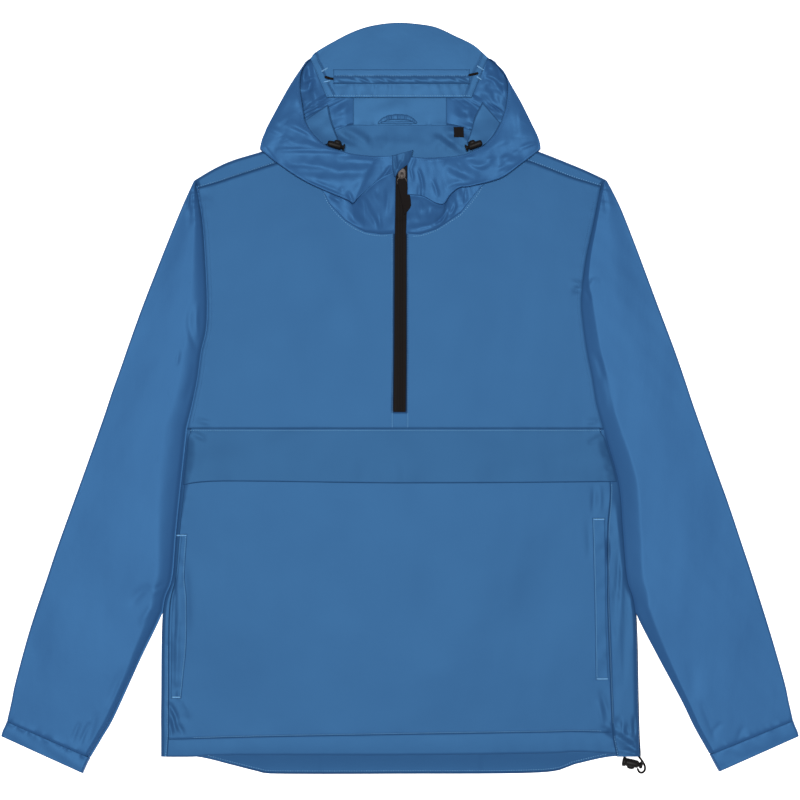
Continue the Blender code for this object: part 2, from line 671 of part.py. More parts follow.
def hood_side(name, table_rows, front_rows, side, finish):
    """One side of the hood: a wall from the face opening over a crest and back under itself."""
    steps = 2
    shared = (len(OVER_THE_TOP) - 1) * steps
    layers = []
    for rows, floor in ((table_rows, 0.0), (front_rows, ON_FRONT)):
        sections = np.array([spline(hood_section(row), steps) for row in rows])
        columns = range(sections.shape[1])
        middle = np.array([spline(sections[:, k], steps) for k in columns]).transpose(1, 0, 2)
        # the hidden end runs straight from row to row, like the seam that it meets
        number = np.arange(len(middle)) / steps
        straight = np.array([[np.interp(number, np.arange(len(rows)), sections[:, k, axis])
                              for axis in range(3)] for k in columns]).transpose(2, 0, 1)
        weight = np.clip((np.array(columns) - shared - steps) / (2 * steps), 0, 1)[None, :, None]
        middle = middle * (1 - weight) + straight * weight
        if rows is front_rows:
            middle[..., 2] -= hood_folds(*middle.shape[:2], steps)
        normal = grid_normals(middle) * side
        pair = [middle + normal * CLOTH / 2, middle - normal * CLOTH / 2]
        for grid in pair:
            below = slice(shared + 1, None)
            grid[:, below, 2] = np.maximum(grid[:, below, 2], floor)
        layers.append(pair)
    (outer_a, inner_a), (outer_b, inner_b) = layers
    for first, second in ((outer_a, outer_b), (inner_a, inner_b)):
        second[0, :shared + 1] = first[-1, :shared + 1]
    outer = np.concatenate([outer_a, outer_b])
    inner = np.concatenate([inner_a, inner_b])
    keep = np.ones((outer.shape[0] - 1, outer.shape[1] - 1), bool)
    keep[len(outer_a) - 1] = False
    return wall(name, outer, inner, finish, keep)


def brim_plan(low_left, low_right, low_y, inset):
    """A grid over the brim: along its hem, and from the hem up to the outline."""
    edge = np.array(BRIM_EDGE, float)
    middle = np.array([0.0, BRIM_HEM_Y])
    edge = edge + (middle - edge) / np.linalg.norm(middle - edge, axis=1)[:, None] * inset
    share = np.linspace(0, 1, len(edge))
    low = np.stack([low_left + (low_right - low_left) * share, np.full(len(edge), low_y)], axis=-1)
    rise = np.array([0.0, 0.2, 0.4, 0.6, 0.8, 0.92, 1.0])[:, None, None]
    return low + (edge - low) * rise


def brim_under(x, y):
    """Height of the brim's underside: a low dome, highest at the middle of its hem."""
    outward = np.hypot(x / BRIM_REACH_X, (y - BRIM_HEM_Y) / BRIM_REACH_Y)
    return BRIM_HIGH + (BRIM_LOW - BRIM_HIGH) * np.clip(outward, 0, 1) ** 3


def hood_brim(finish):
    plan = brim_plan(*BRIM_HEM, BRIM_HEM_Y, 0.0)
    return flat_wall("hood_brim", plan, brim_under(plan[..., 0], plan[..., 1]), BRIM_CLOTH, finish)


def hood_centre(finish):
    """The hood's centre strip: flat behind the neck, then the crown folded away under the brim."""
    plan = brim_plan(BRIM_HEM[0] + 1.5, BRIM_HEM[1] - 1.5, BRIM_HEM_Y - 1.5, 3.0)
    high = brim_under(plan[..., 0], plan[..., 1]) - 2 * SEAM
    columns = plan.shape[1]
    strip_x = np.linspace(-STRIP_HALF, STRIP_HALF, columns - 4)
    strip_x = np.concatenate([strip_x[0] + SPARE, strip_x, strip_x[-1] - SPARE[::-1]])
    pad_end = SPARE - SPARE[0]
    plan[0, :, 0] = np.concatenate([plan[0, 0, 0] + pad_end, strip_x[2:-2], plan[0, -1, 0] - pad_end[::-1]])
    strip = np.array([np.stack([strip_x, np.full(columns, y)], axis=-1)
                      for y in (NECK_SEAM_Y, 338.0, BRIM_HEM_Y - 2.5)])
    plan = np.concatenate([strip, plan])
    top = np.concatenate([np.full((3, columns), CLOTH), high])
    outer = np.dstack([plan, top])
    inner = np.dstack([plan, np.zeros(plan.shape[:2])])
    keep = np.ones((plan.shape[0] - 1, columns - 1), bool)
    keep[:3, :2] = False
    keep[:3, -2:] = False
    return wall("hood_centre", outer, inner, finish, keep)


def on_brim(x, y):
    """Where a piece rests that is laid on the brim."""
    return brim_under(x, y) + BRIM_CLOTH + 2 * SEAM


def cord_casing(finish):
    """The tunnel on the brim for the elastic that narrows the hood."""
    x, y = np.meshgrid(np.linspace(*CASING_X, 13), np.linspace(*CASING_Y, 5))
    return flat_wall("cord_casing", np.dstack([x, y]), on_brim(x, y), BRIM_CLOTH, finish)


def facing(name, rows, finish):
    """The turned-in facing of the face opening: rows of its outer x, y, z and its inner x, y, z."""
    table = np.array(rows, float)
    t = np.array([0.0, 0.5, 1.0])[None, :, None]
    top = table[:, None, :3] * (1 - t) + table[:, None, 3:] * t
    top[:, 1, 2] -= 0.8
    return wall(name, top, top - (0.0, 0.0, CLOTH), finish)


# ---------------------------------------------------------------- small pieces


def cylinder(shape, start, end, radius, segments=12, end_radius=None):
    """A capped round bar between two points, added to a bmesh."""
    start, end = Vector(start), Vector(end)
    turn = (end - start).to_track_quat("Z", "Y").to_matrix().to_4x4()
    bmesh.ops.create_cone(shape, cap_ends=True, segments=segments, radius1=radius,
                          radius2=radius if end_radius is None else end_radius, depth=(end - start).length,
                          matrix=Matrix.Translation((start + end) / 2) @ turn)


def box(shape, low, high):
    size = [b - a for a, b in zip(low, high)]
    middle = [(a + b) / 2 for a, b in zip(low, high)]
    bmesh.ops.create_cube(shape, size=1.0, matrix=Matrix.Translation(middle) @ Matrix.Diagonal((*size, 1.0)))


def solid(name, draw, finish, place=None):
    """An object drawn in millimetres by a function that is given an empty bmesh."""
    shape = bmesh.new()
    draw(shape)
    matrix = Matrix.Scale(MM, 4) @ (place or Matrix.Identity(4))
    bmesh.ops.transform(shape, matrix=matrix, verts=shape.verts)
    mesh = bpy.data.meshes.new(name)
    shape.to_mesh(mesh)
    shape.free()
    mesh.shade_smooth()
    mesh.set_sharp_from_angle(angle=math.radians(40))
    mesh.materials.append(finish)
    made = bpy.data.objects.new(name, mesh)
    bpy.context.scene.collection.objects.link(made)
    return made


def boolean(target, other, operation):
    """Joins or cuts one object by another and takes the second away."""
    change = target.modifiers.new("boolean", "BOOLEAN")
    change.operation = operation
    change.solver = "EXACT"
    change.object = other
    graph = bpy.context.evaluated_depsgraph_get()
    mesh = bpy.data.meshes.new_from_object(target.evaluated_get(graph))
    target.modifiers.clear()
    target.data = mesh
    bpy.data.objects.remove(other, do_unlink=True)


def placed(x, y, z, turn=0.0, tilt=0.0):
    """A place in the garment: turned in plan by the first angle, then tipped end to end by the second."""
    return (Matrix.Translation((x, y, z)) @ Matrix.Rotation(math.radians(turn), 4, "Z")
            @ Matrix.Rotation(math.radians(tilt), 4, "Y"))


def cord_lock(name, place, finish):
    """A barrel cord lock: a round body with a flange at one end and a press button on its side."""
    half = LOCK_LENGTH / 2

    def barrel(shape):
        cylinder(shape, (-half, 0, 0), (half, 0, 0), LOCK_RADIUS, 16, LOCK_RADIUS * 0.86)

    def flange(shape):
        cylinder(shape, (half - 3.0, 0, 0), (half - 1.2, 0, 0), LOCK_RADIUS, 16)

    def button(shape):
        box(shape, (-3.5, 1.5, -2.4), (4.5, LOCK_RADIUS + 2.0, 2.4))

    body = solid(name, barrel, finish, place)
    boolean(body, solid(name + "_flange", flange, finish, place), "UNION")
    boolean(body, solid(name + "_button", button, finish, place), "UNION")
    return body


def cord(name, points, radius, finish):
    """A round cord along a smooth curve through the points."""
    curve = bpy.data.curves.new(name, "CURVE")
    curve.dimensions = "3D"
    curve.bevel_depth = radius * MM
    curve.bevel_resolution = 2
    curve.use_fill_caps = True
    path = spline(points, 3) * MM
    line = curve.splines.new("POLY")
    line.points.add(len(path) - 1)
    for point, place in zip(line.points, path):
        point.co = (*place, 1.0)
    curve.materials.append(finish)
    made = bpy.data.objects.new(name, curve)
    bpy.context.scene.collection.objects.link(made)
    return made


def elastic(name, ends, finish):
    """A short stretch of elastic that lies on the brim."""
    cord(name, [(x, y, float(on_brim(x, y)) + ELASTIC_RADIUS) for x, y in ends], ELASTIC_RADIUS, finish)


def hanger_loop(finish):
    """The loop at the back of the neck: a band that arches from a straight tape, laid flat."""
    outer = [(-29, 324.2), (-26, 328.5), (-18, 335.5), (-6, 337), (6, 336.8), (15, 332.5), (21, 327.5),
             (23, 324.2), (-3, 324.2)]
    inner = [(-20, 327.6), (-18.5, 328.2), (-13.5, 331), (-5, 331.8), (3, 331.6), (9, 330), (13, 328.2),
             (14, 327.6), (-3, 327.6)]
    ring = np.array([[a, b] for a, b in zip(outer + outer[:1], inner + inner[:1])], float)
    return flat_wall("hanger_loop", ring, ON_STRIP, HANGER_TAPE, finish)


def label(finish):
    """A small woven tab, left bare, at the side of the neck seam."""
    rows = [(320.0, 63, 75), (314.0, 63, 75), (308.4, 63.5, 75.3)]
    return strip("neck_label", rows, ON_STRIP + LABEL_CLEARANCE, LABEL_CLOTH, finish)


def zip_height(y):
    """Top of the zip's tape: under the yoke, then up the slope of the collar."""
    table = [(-30, FRONT_UNDER - SEAM), (COLLAR_SEAM_Y + 5, FRONT_UNDER - SEAM),
             (COLLAR_SEAM_Y + 22, 8.2), (262, 14.4), (285, 17.4)]
    return along(table, y)


def zip_tape(finish):
    half = TAPE_WIDTH / 2
    levels = [-24, 60, 130, 200, 217, 240, 262, 283]
    plan = np.array([[(x, y) for x in (-half, 0.0, half)] for y in levels], float)
    under = zip_height(plan[..., 1]) - CLOTH
    return flat_wall("zip_tape", plan, under, CLOTH, finish)


def zip_garage(finish):
    """The flap that covers the top of the zip: rows of (y, left x, right x, underside)."""
    rows = [(263.5, -9.0, -3.5, 21.6), (267.5, -9.0, 2.0, 21.8), (273.0, -9.0, 8.0, 21.6),
            (281.0, -9.0, 10.5, 21.2), (288.0, -9.0, 12.5, 20.9)]
    plan = np.array([[(x, y) for x in (left, (left + right) / 2, right)] for y, left, right, _ in rows])
    under = np.array([[height - 0.6, height, height] for *_, height in rows])
    return flat_wall("zip_garage", plan, under, CLOTH, finish)


def zip_place():
    """The slider's place on the tape, tipped to the collar's slope, with its origin under the pin."""
    slope = math.atan(ZIP_SLOPE)
    height = float(zip_height(SLIDER_Y)) + SEAM
    return Matrix.Translation((0.0, SLIDER_Y, height)) @ Matrix.Rotation(slope, 4, "X")


def zip_slider(finish):
    """The slider: a body that narrows towards the closed zip, and a bridge over it that holds the pull."""
    def body(shape):
        box(shape, (-4.2, -4.6, 0.0), (4.2, 6.0, SLIDER_BODY))

    def bridge(shape):
        box(shape, (-BRIDGE_HALF, -3.4, SLIDER_BODY - 0.5), (BRIDGE_HALF, 3.4, PIN_HEIGHT + 2.0))

    def eye(shape):
        box(shape, (-3.0, -2.2, SLIDER_BODY), (3.0, 2.2, PIN_HEIGHT + 1.1))

    place = zip_place()
    made = solid("zip_slider", body, finish, place)
    boolean(made, solid("zip_bridge", bridge, finish, place), "UNION")
    boolean(made, solid("zip_eye", eye, finish, place), "DIFFERENCE")
    return made


def zip_pull(finish):
    """The pull's metal ring: a pin through the bridge, an arm on each side of it and a bar at the end."""
    arm_in = BRIDGE_HALF + 0.4
    arm_out = arm_in + 1.1
    end = -RING_LENGTH

    def pin(shape):
        cylinder(shape, (-arm_out, 0, PIN_HEIGHT), (arm_out, 0, PIN_HEIGHT), 0.65, 12)

    def frame(side):
        def draw(shape):
            low, high = sorted((side * arm_in, side * arm_out))
            box(shape, (low, end, PIN_HEIGHT - 0.5), (high, 0.4, PIN_HEIGHT + 0.5))
        return draw

    def bar(shape):
        box(shape, (-arm_out, end - 1.2, PIN_HEIGHT - 0.5), (arm_out, end + 0.3, PIN_HEIGHT + 0.5))

    place = zip_place()
    made = solid("zip_pull", pin, finish, place)
    for name, draw in (("arm_left", frame(-1)), ("arm_right", frame(1)), ("bar", bar)):
        boolean(made, solid(name, draw, finish, place), "UNION")
    return made


def zip_strap(finish):
    """The strap of the pull: a stiff tab folded through the ring's end, lying beside the zip."""
    # distance below the pin, left x, right x
    rows = [(RING_LENGTH + 1.5, -3.0, 3.2), (RING_LENGTH + 6, -2.6, 5.0), (22, -1.6, 8.2), (30, 0.2, 11.6),
            (37, 2.0, 13.2), (42, 3.6, 11.0), (47, 5.6, 7.6)]
    place = zip_place()
    grids = []
    for height in (PIN_HEIGHT + STRAP_CLOTH / 2, PIN_HEIGHT - STRAP_CLOTH / 2):
        grid = [[(x, -below, height) for x in (left, (left + right) / 2, right)] for below, left, right in rows]
        grids.append(np.array([[place @ Vector(point) for point in row] for row in grid]))
    return wall("zip_strap", *grids, finish)


# ---------------------------------------------------------------- the garment


def build():
    for old in list(bpy.data.objects):
        bpy.data.objects.remove(old, do_unlink=True)
    cloth = material("cloth", CLOTH_BLUE, 0.55)
    light = material("cloth_inside", CLOTH_LIGHT, 0.5)
    black = material("zip_black", BLACK, 0.6)
    plastic = material("lock_plastic", BLACK, 0.4)
    metal = material("slider_metal", METAL, 0.35, 1.0)

    back(cloth)
    front_yoke(cloth)
    front_lower(cloth)
    front_hem(cloth)
    pocket_flap(cloth)
    strip("pocket_welt_left", LEFT_WELT, ON_FRONT, WELT_CLOTH, cloth)
    strip("pocket_welt_right", RIGHT_WELT, ON_FRONT, WELT_CLOTH, cloth)

    tube("sleeve_left", beside_body(LEFT_SLEEVE, left_edge, -1), SLEEVE_HEIGHT, CLOTH, cloth, OPEN_ROWS,
         CUFF_GATHERS)
    tube("sleeve_right", beside_body(RIGHT_SLEEVE, right_edge, 1), SLEEVE_HEIGHT, CLOTH, cloth, OPEN_ROWS,
         CUFF_GATHERS)
    tube("cuff_left", LEFT_CUFF, CUFF_HEIGHT, BAND, cloth)
    tube("cuff_right", RIGHT_CUFF, CUFF_HEIGHT, BAND, cloth)

    hood_centre(light)
    hood_brim(cloth)
    cord_casing(cloth)
    hood_side("hood_side_left", LEFT_HOOD_TABLE_ROWS, LEFT_HOOD_FRONT_ROWS, 1, cloth)
    hood_side("hood_side_right", RIGHT_HOOD_TABLE_ROWS, RIGHT_HOOD_FRONT_ROWS, -1, cloth)
    facing("facing_left", LEFT_FACING, cloth)
    facing("facing_right", RIGHT_FACING, cloth)
    hanger_loop(light)
    label(black)
    cord_lock("hood_lock_left", placed(-75.5, 298.4, 19.3, -20, 9), plastic)
    cord_lock("hood_lock_right", placed(83.9, 303.4, 18.6, 200, 8), plastic)
    elastic("hood_elastic_left", LEFT_ELASTIC, black)
    elastic("hood_elastic_right", RIGHT_ELASTIC, black)

    zip_tape(black)
    zip_garage(cloth)
    zip_slider(metal)
    zip_pull(metal)
    zip_strap(black)
    cord_lock("hem_lock", placed(273.5, -432.0, LOCK_RADIUS + 0.1, 168), plastic)
    cord("hem_cord", HEM_CORD, ELASTIC_RADIUS, black)


build()
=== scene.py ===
# %% [markdown]
# # An anorak pullover, laid flat
#
# A light nylon anorak lies on its back with its front up and its hood open upwards. It is soft, so almost
# everything that the eye reads is the shape of thin cloth: rounded folds at the sides, a valley where each
# sleeve meets the body, gathers beside the seams, and a hood that slumps over its own collar. The engineering
# model gives each sewn piece its place and its solid form. This lesson lays thin, finely creased cloth on
# those forms, then adds what a machinist would: stitches, bar tacks, zip chain and cord locks.
#
# All tables are in millimetres, in the frame of the model: X across, Y from hem to hood, Z up from the table.

# %% Libraries and the frame
import math

import bpy
import numpy as np
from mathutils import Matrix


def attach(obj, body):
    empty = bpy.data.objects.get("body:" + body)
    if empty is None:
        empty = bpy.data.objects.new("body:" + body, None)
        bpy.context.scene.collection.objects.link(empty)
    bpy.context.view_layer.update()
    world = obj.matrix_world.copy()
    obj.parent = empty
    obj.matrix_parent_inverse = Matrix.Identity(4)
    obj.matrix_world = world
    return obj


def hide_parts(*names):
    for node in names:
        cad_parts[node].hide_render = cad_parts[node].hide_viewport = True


MM = 0.001
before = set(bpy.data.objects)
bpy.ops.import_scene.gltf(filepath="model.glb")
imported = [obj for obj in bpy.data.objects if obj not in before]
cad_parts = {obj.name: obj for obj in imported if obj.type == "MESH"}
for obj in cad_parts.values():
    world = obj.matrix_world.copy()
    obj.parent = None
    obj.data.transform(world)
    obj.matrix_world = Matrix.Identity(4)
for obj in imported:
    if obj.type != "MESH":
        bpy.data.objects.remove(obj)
print("pieces of the model", len(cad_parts))
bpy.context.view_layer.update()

# %% [markdown]
# ## Camera, table and light
#
# A flat garment is best seen from straight above through a long lens, so that sleeves and hem show no
# perspective. 150 mm at nearly four metres does that. The table is a lit white sheet, so the cloth throws no
# shadow on it. One large soft light hangs a little towards the hood and the left. Light from above leaves
# level cloth bright and darkens every slope, and that is what draws the seams.

# %% Camera, table and light
LENS = 150.0
SENSOR = 36.0
FIELD = 0.944  # width of the view at the cloth, in metres
CENTRE_Y = -0.0018
CLOTH_TOP = 0.006
TABLE_HALF = 4.0
TABLE_Z = -0.0004  # a hair under the cloth
KEY_ENERGY = 2.44
KEY_SPREAD = 9.0  # degrees across, which sets how soft its shading is
KEY_FROM = (-0.02, -0.01, 1.0)  # towards the lamp, from the garment
ROOM_COLOUR = (0.95, 0.97, 1.0, 1.0)
ROOM_STRENGTH = 0.18


def link(name, data):
    """A new object in the scene that shows the data."""
    made = bpy.data.objects.new(name, data)
    bpy.context.scene.collection.objects.link(made)
    return made


camera_data = bpy.data.cameras.new("camera")
camera_data.lens = LENS
camera_data.sensor_width = SENSOR
camera = link("camera", camera_data)
camera.location = (0.0, CENTRE_Y, CLOTH_TOP + FIELD * LENS / SENSOR)
bpy.context.scene.camera = camera

table_data = bpy.data.meshes.new("table")
table_corners = [(-TABLE_HALF, -TABLE_HALF), (TABLE_HALF, -TABLE_HALF), (TABLE_HALF, TABLE_HALF),
                 (-TABLE_HALF, TABLE_HALF)]
table_data.from_pydata([(x, y, TABLE_Z) for x, y in table_corners], [], [(0, 1, 2, 3)])
table = link("table", table_data)
lit = bpy.data.materials.new("lit_table")
lit.use_nodes = True
sheet_light = lit.node_tree.nodes["Principled BSDF"]
sheet_light.inputs["Base Color"].default_value = (0.8, 0.8, 0.8, 1.0)
sheet_light.inputs["Emission Color"].default_value = (1.0, 1.0, 1.0, 1.0)
sheet_light.inputs["Emission Strength"].default_value = 1.0
table_data.materials.append(lit)

key_data = bpy.data.lights.new("key", "SUN")
key_data.energy = KEY_ENERGY
key_data.angle = math.radians(KEY_SPREAD)
key = link("key", key_data)
key.rotation_euler = (-math.atan2(KEY_FROM[1], KEY_FROM[2]), math.atan2(KEY_FROM[0], KEY_FROM[2]), 0.0)

world = bpy.data.worlds.new("room")
world.use_nodes = True
bpy.context.scene.world = world
world.node_tree.nodes["Background"].inputs["Color"].default_value = ROOM_COLOUR
world.node_tree.nodes["Background"].inputs["Strength"].default_value = ROOM_STRENGTH
bpy.context.scene.view_settings.view_transform = "Standard"
print("camera", [round(v, 3) for v in camera.location], "key", key_data.energy)

# %% [markdown]
# ## Finishes
#
# The shell is a thin plain-weave nylon with a calendered face: matt at a distance, with a faint silky shine
# that slides over each fold. Two things make that: a broad highlight tinted blue, and a surface that is never
# quite level. The last comes from three bumps: long crumple at 30 mm, short crumple at 7.5 mm and weave at
# 0.35 mm. The weave's waves are laid on the cloth by its own arc lengths, which each piece carries as UV
# coordinates.
#
# Arithmetic on a `Term` adds Math nodes, so that the formulas below read as they are written.


# %% Shader tools
class Term:
    """A number in a material. Arithmetic with it adds Math nodes."""

    def __init__(self, finish, socket):
        self.finish = finish
        self.socket = socket

    def math(self, operation, *others):
        """The result of one Math node on this number and the others."""
        made = self.finish.node("ShaderNodeMath", {"operation": operation}, dict(enumerate([self, *others])))
        return Term(self.finish, made.outputs[0])

    def __add__(self, other):
        return self.math("ADD", other)

    def __mul__(self, other):
        return self.math("MULTIPLY", other)


class Finish:
    """A Principled material with a socket for each thing that varies over it."""

    def __init__(self, name, colour, roughness, constants=None):
        self.material = bpy.data.materials.new(name)
        self.material.use_nodes = True
        self.tree = self.material.node_tree
        self.shader = self.tree.nodes["Principled BSDF"]
        self.shader.inputs["Base Color"].default_value = (*colour, 1.0)
        self.shader.inputs["Roughness"].default_value = roughness
        for socket, value in (constants or {}).items():
            self.shader.inputs[socket].default_value = value
        self.object_place = self.node("ShaderNodeTexCoord").outputs["Object"]

    def node(self, kind, settings=None, sockets=None):
        """Any node: its settings are set first, then its sockets are linked or given a constant."""
        made = self.tree.nodes.new(kind)
        for key, value in (settings or {}).items():
            setattr(made, key, value)
        for key, value in (sockets or {}).items():
            self.feed(made.inputs[key], value)
        return made

    def feed(self, socket, value):
        """Links a socket to a term or another socket, or gives it a constant."""
        value = value.socket if isinstance(value, Term) else value
        if isinstance(value, bpy.types.NodeSocket):
            self.tree.links.new(value, socket)
        else:
            socket.default_value = value

    def noise(self, size, detail, stretch=None):
        """Soft noise from 0 to 1 with lumps about size metres across, drawn out where stretch is below 1."""
        where = self.object_place
        if stretch:
            where = self.node("ShaderNodeVectorMath", {"operation": "MULTIPLY"},
                              {0: where, 1: stretch}).outputs[0]
        made = self.node("ShaderNodeTexNoise", {"noise_dimensions": "3D"},
                         {"Vector": where, "Scale": 1.0 / size, "Detail": detail})
        return Term(self, made.outputs[0])

    def tint(self, share, low, high):
        """Colours the surface between two colours by a number from 0 to 1."""
        mix = self.node("ShaderNodeMix", {"data_type": "RGBA"},
                        {0: share, 6: (*low, 1.0), 7: (*high, 1.0)})
        self.feed(self.shader.inputs["Base Color"], mix.outputs[2])

    def rough(self, value):
        """Sets the roughness to a term."""
        self.feed(self.shader.inputs["Roughness"], value)

    def bumps(self, *layers):
        """Bumps from (height from 0 to 1, depth in millimetres), each on top of the one before."""
        normal = None
        for height, depth in layers:
            sockets = {"Height": height, "Strength": 1.0, "Distance": depth * MM}
            if normal:
                sockets["Normal"] = normal
            normal = self.node("ShaderNodeBump", None, sockets).outputs[0]
        self.feed(self.shader.inputs["Normal"], normal)


# %% Cloth, thread, plastic and metal
WEAVE = 0.35  # pitch of the yarns
ZIP_COIL = 1.27  # pitch of the zip's coil
CHAIN_HALF = 3.4
TWILL = 0.6  # pitch of the twill lines on the zip's tape
MATT = 0.39  # roughness of the cloth
MOTTLE = 0.035  # how far its colour wanders either way, as a share
SHELL = np.array([0.0250, 0.0840, 0.2120])
SHELL_INSIDE = np.array([0.028, 0.092, 0.225])
SATIN = (0.17, 0.53, 1.0, 1.0)  # tint of the highlight
TAPE_BLACK = (0.0105, 0.0080, 0.0075)


def cloth_finish(name, colour, shine=0.25, crinkle=1.0):
    """Calendered nylon: mottled by a few per cent, crumpled, and woven."""
    made = Finish(name, colour, MATT, {"Specular IOR Level": shine, "Specular Tint": SATIN})
    cloud = made.noise(0.06, 2.0)
    grain = made.noise(0.0016, 1.0)
    made.tint(cloud * 0.6 + grain * 0.4, tuple(colour * (1 - MOTTLE)), tuple(colour * (1 + MOTTLE)))
    made.rough(cloud * 0.03 + (MATT - 0.015))
    uv = made.node("ShaderNodeUVMap", {"uv_map": "cloth"}).outputs[0]
    parts = made.node("ShaderNodeSeparateXYZ", None, {0: uv})
    turns = 2 * math.pi / (WEAVE * MM)
    warp = (Term(made, parts.outputs[0]) * turns).math("SINE")
    weft = (Term(made, parts.outputs[1]) * turns).math("SINE")
    crumple = made.noise(0.0075, 3.0)
    long_crumple = made.noise(0.03, 2.0, stretch=(1.0, 0.45, 1.0))
    made.bumps((long_crumple, 0.22 * crinkle), (crumple, 0.05 * crinkle), (warp * weft * 0.5 + 0.5, 0.005))
    return made.material


def hard_finish(name, colour, roughness, metallic=0.0, shine=0.5):
    """A moulded or cast surface: fine wear in its shine and a slightly uneven face."""
    made = Finish(name, colour, roughness, {"Metallic": metallic, "Specular IOR Level": shine})
    wear = made.noise(0.002, 4.0)
    made.tint(wear, tuple(np.multiply(colour, 0.8)), tuple(np.multiply(colour, 1.25)))
    made.rough(wear * 0.18 + (roughness - 0.09))
    made.bumps((wear, 0.02))
    return made.material


# One nylon in copies with painted shade and painted light: darker for the flap, lighter for sleeves and hood.
shell = cloth_finish("shell_nylon", SHELL)
# painted shade: the flap's copy has a darker base colour
shell_flap_painted_shade = cloth_finish("shell_nylon_flap_painted_shade", SHELL * 0.87)
# painted light: the copy for sleeves and cuffs has a lighter base colour
shell_sleeve_painted_light = cloth_finish("shell_nylon_sleeve_painted_light", SHELL * 1.20)
# painted light: the hood's copy has a lighter base colour, as well as more shine and crinkle
shell_hood_painted_light = cloth_finish("shell_nylon_hood_painted_light", SHELL * 1.26, 0.27, 2.4)
shell_inside = cloth_finish("shell_nylon_inside", SHELL_INSIDE, 0.33, 1.5)
thread = hard_finish("thread", (0.24, 0.52, 0.84), 0.6, shine=0.1)
thread_tonal = hard_finish("thread_tonal", (0.060, 0.185, 0.415), 0.6, shine=0.1)
black_tape = hard_finish("black_tape", TAPE_BLACK, 0.8, shine=0.1)
black_plastic = hard_finish("black_plastic", (0.009, 0.0075, 0.007), 0.5, shine=0.16)
slider_metal = hard_finish("slider_metal", (0.095, 0.080, 0.073), 0.55, 0.35, 0.28)


def chain_finish():
    """Zip tape: black twill with the ribs of the coil showing through on both sides of the middle."""
    made = Finish("zip_tape_and_chain", TAPE_BLACK, 0.8, {"Specular IOR Level": 0.12})
    parts = made.node("ShaderNodeSeparateXYZ", None, {0: made.object_place})
    x, y = Term(made, parts.outputs[0]), Term(made, parts.outputs[1])
    chain = x.math("ABSOLUTE").math("LESS_THAN", CHAIN_HALF * MM)
    rib = (y * (2 * math.pi / (ZIP_COIL * MM))).math("SINE") * 0.5 + 0.5
    twill = ((x + y) * (2 * math.pi / (TWILL * MM))).math("SINE") * 0.5 + 0.5
    wear = made.noise(0.004, 3.0)
    made.tint(wear, (0.0085, 0.0066, 0.0062), (0.0130, 0.0100, 0.0092))
    made.rough(wear * 0.1 + 0.7)
    made.bumps((chain * rib, 0.12), (twill, 0.03))
    return made.material


zip_chain = chain_finish()
print(len(bpy.data.materials), "materials so far")

# %% [markdown]
# ## Tools for cloth
#
# A piece of cloth is a grid of points. Where two grids share points they are sewn into one mesh, and a cell
# with a missing point (NaN) is left out. A `Solidify` gives it its thickness. Nothing in a garment ends in a
# knife edge: raw edges are turned under, so `rolled` adds a small half circle beyond a border.
#
# Creases are listed as rows of a table. Gathers are uneven waves that run along a seam and die away
# a few millimetres from it.


# %% Curves, noise and creases
def spline(rows, steps):
    """A smooth curve through every row, with the given number of steps between two rows (Catmull-Rom)."""
    rows = np.asarray(rows, float)
    padded = np.concatenate([2 * rows[:1] - rows[1:2], rows, 2 * rows[-1:] - rows[-2:-1]])
    t = (np.arange(steps) / steps).reshape((-1,) + (1,) * (rows.ndim - 1))
    pieces = []
    for before, start, end, after in zip(padded[:-3], padded[1:-2], padded[2:-1], padded[3:]):
        square = 2 * before - 5 * start + 4 * end - after
        cube = 3 * start - before - 3 * end + after
        pieces.append(0.5 * (2 * start + (end - before) * t + square * t ** 2 + cube * t ** 3))
    return np.concatenate(pieces + [rows[-1:]])


def resample(path, step):
    """Points at even distances of about one step along a line."""
    path = np.asarray(path, float)
    place = np.concatenate([[0.0], np.cumsum(np.linalg.norm(np.diff(path, axis=0), axis=1))])
    even = np.linspace(0.0, place[-1], max(2, round(place[-1] / step) + 1))
    return np.stack([np.interp(even, place, path[:, k]) for k in range(path.shape[1])], axis=-1)


def along(rows, x):
    """The second column of a table at x, along a smooth curve through its rows."""
    dense = spline([r[:2] for r in rows], 10)
    order = np.argsort(dense[:, 0])
    return np.interp(x, dense[order, 0], dense[order, 1])


def rounded(share):
    """A quarter ellipse: 0 at 0, rising steeply and levelling off to 1 at 1 and beyond."""
    return np.sqrt(1.0 - (1.0 - np.clip(share, 0.0, 1.0)) ** 2)


def ramped(share):
    """From 0 at 0 to 1 at 1 and beyond, almost straight, with a soft shoulder at the top."""
    return 1.0 - (1.0 - np.clip(share, 0.0, 1.0)) ** 1.45


def eased(value, start, end):
    """0 before start, 1 past end and smooth between them."""
    share = np.clip((np.asarray(value, float) - start) / (end - start), 0.0, 1.0)
    return share * share * (3 - 2 * share)


def swell(x, y, size, seed, waves=7):
    """An uneven swell, mostly from -1 to 1: waves about size long that cross at random angles."""
    rng = np.random.default_rng(seed)
    total = 0.0
    for angle, length, phase in zip(rng.uniform(0, math.pi, waves), size * rng.uniform(0.7, 1.7, waves),
                                    rng.uniform(0, 2 * math.pi, waves)):
        total = total + np.sin((x * math.cos(angle) + y * math.sin(angle)) * 2 * math.pi / length + phase)
    return total / math.sqrt(waves)


RIPPLE_HEIGHTS = 512


def ripple(distance, pitch, seed):
    """Uneven waves along a line, from -1 to 1: random heights, one every pitch, joined smoothly."""
    heights = np.random.default_rng(seed).uniform(-1, 1, RIPPLE_HEIGHTS)
    place = np.asarray(distance) / pitch % (RIPPLE_HEIGHTS - 1)
    cell = np.floor(place).astype(int)
    share = place - cell
    share = share * share * (3 - 2 * share)
    return heights[cell] * (1 - share) + heights[cell + 1] * share


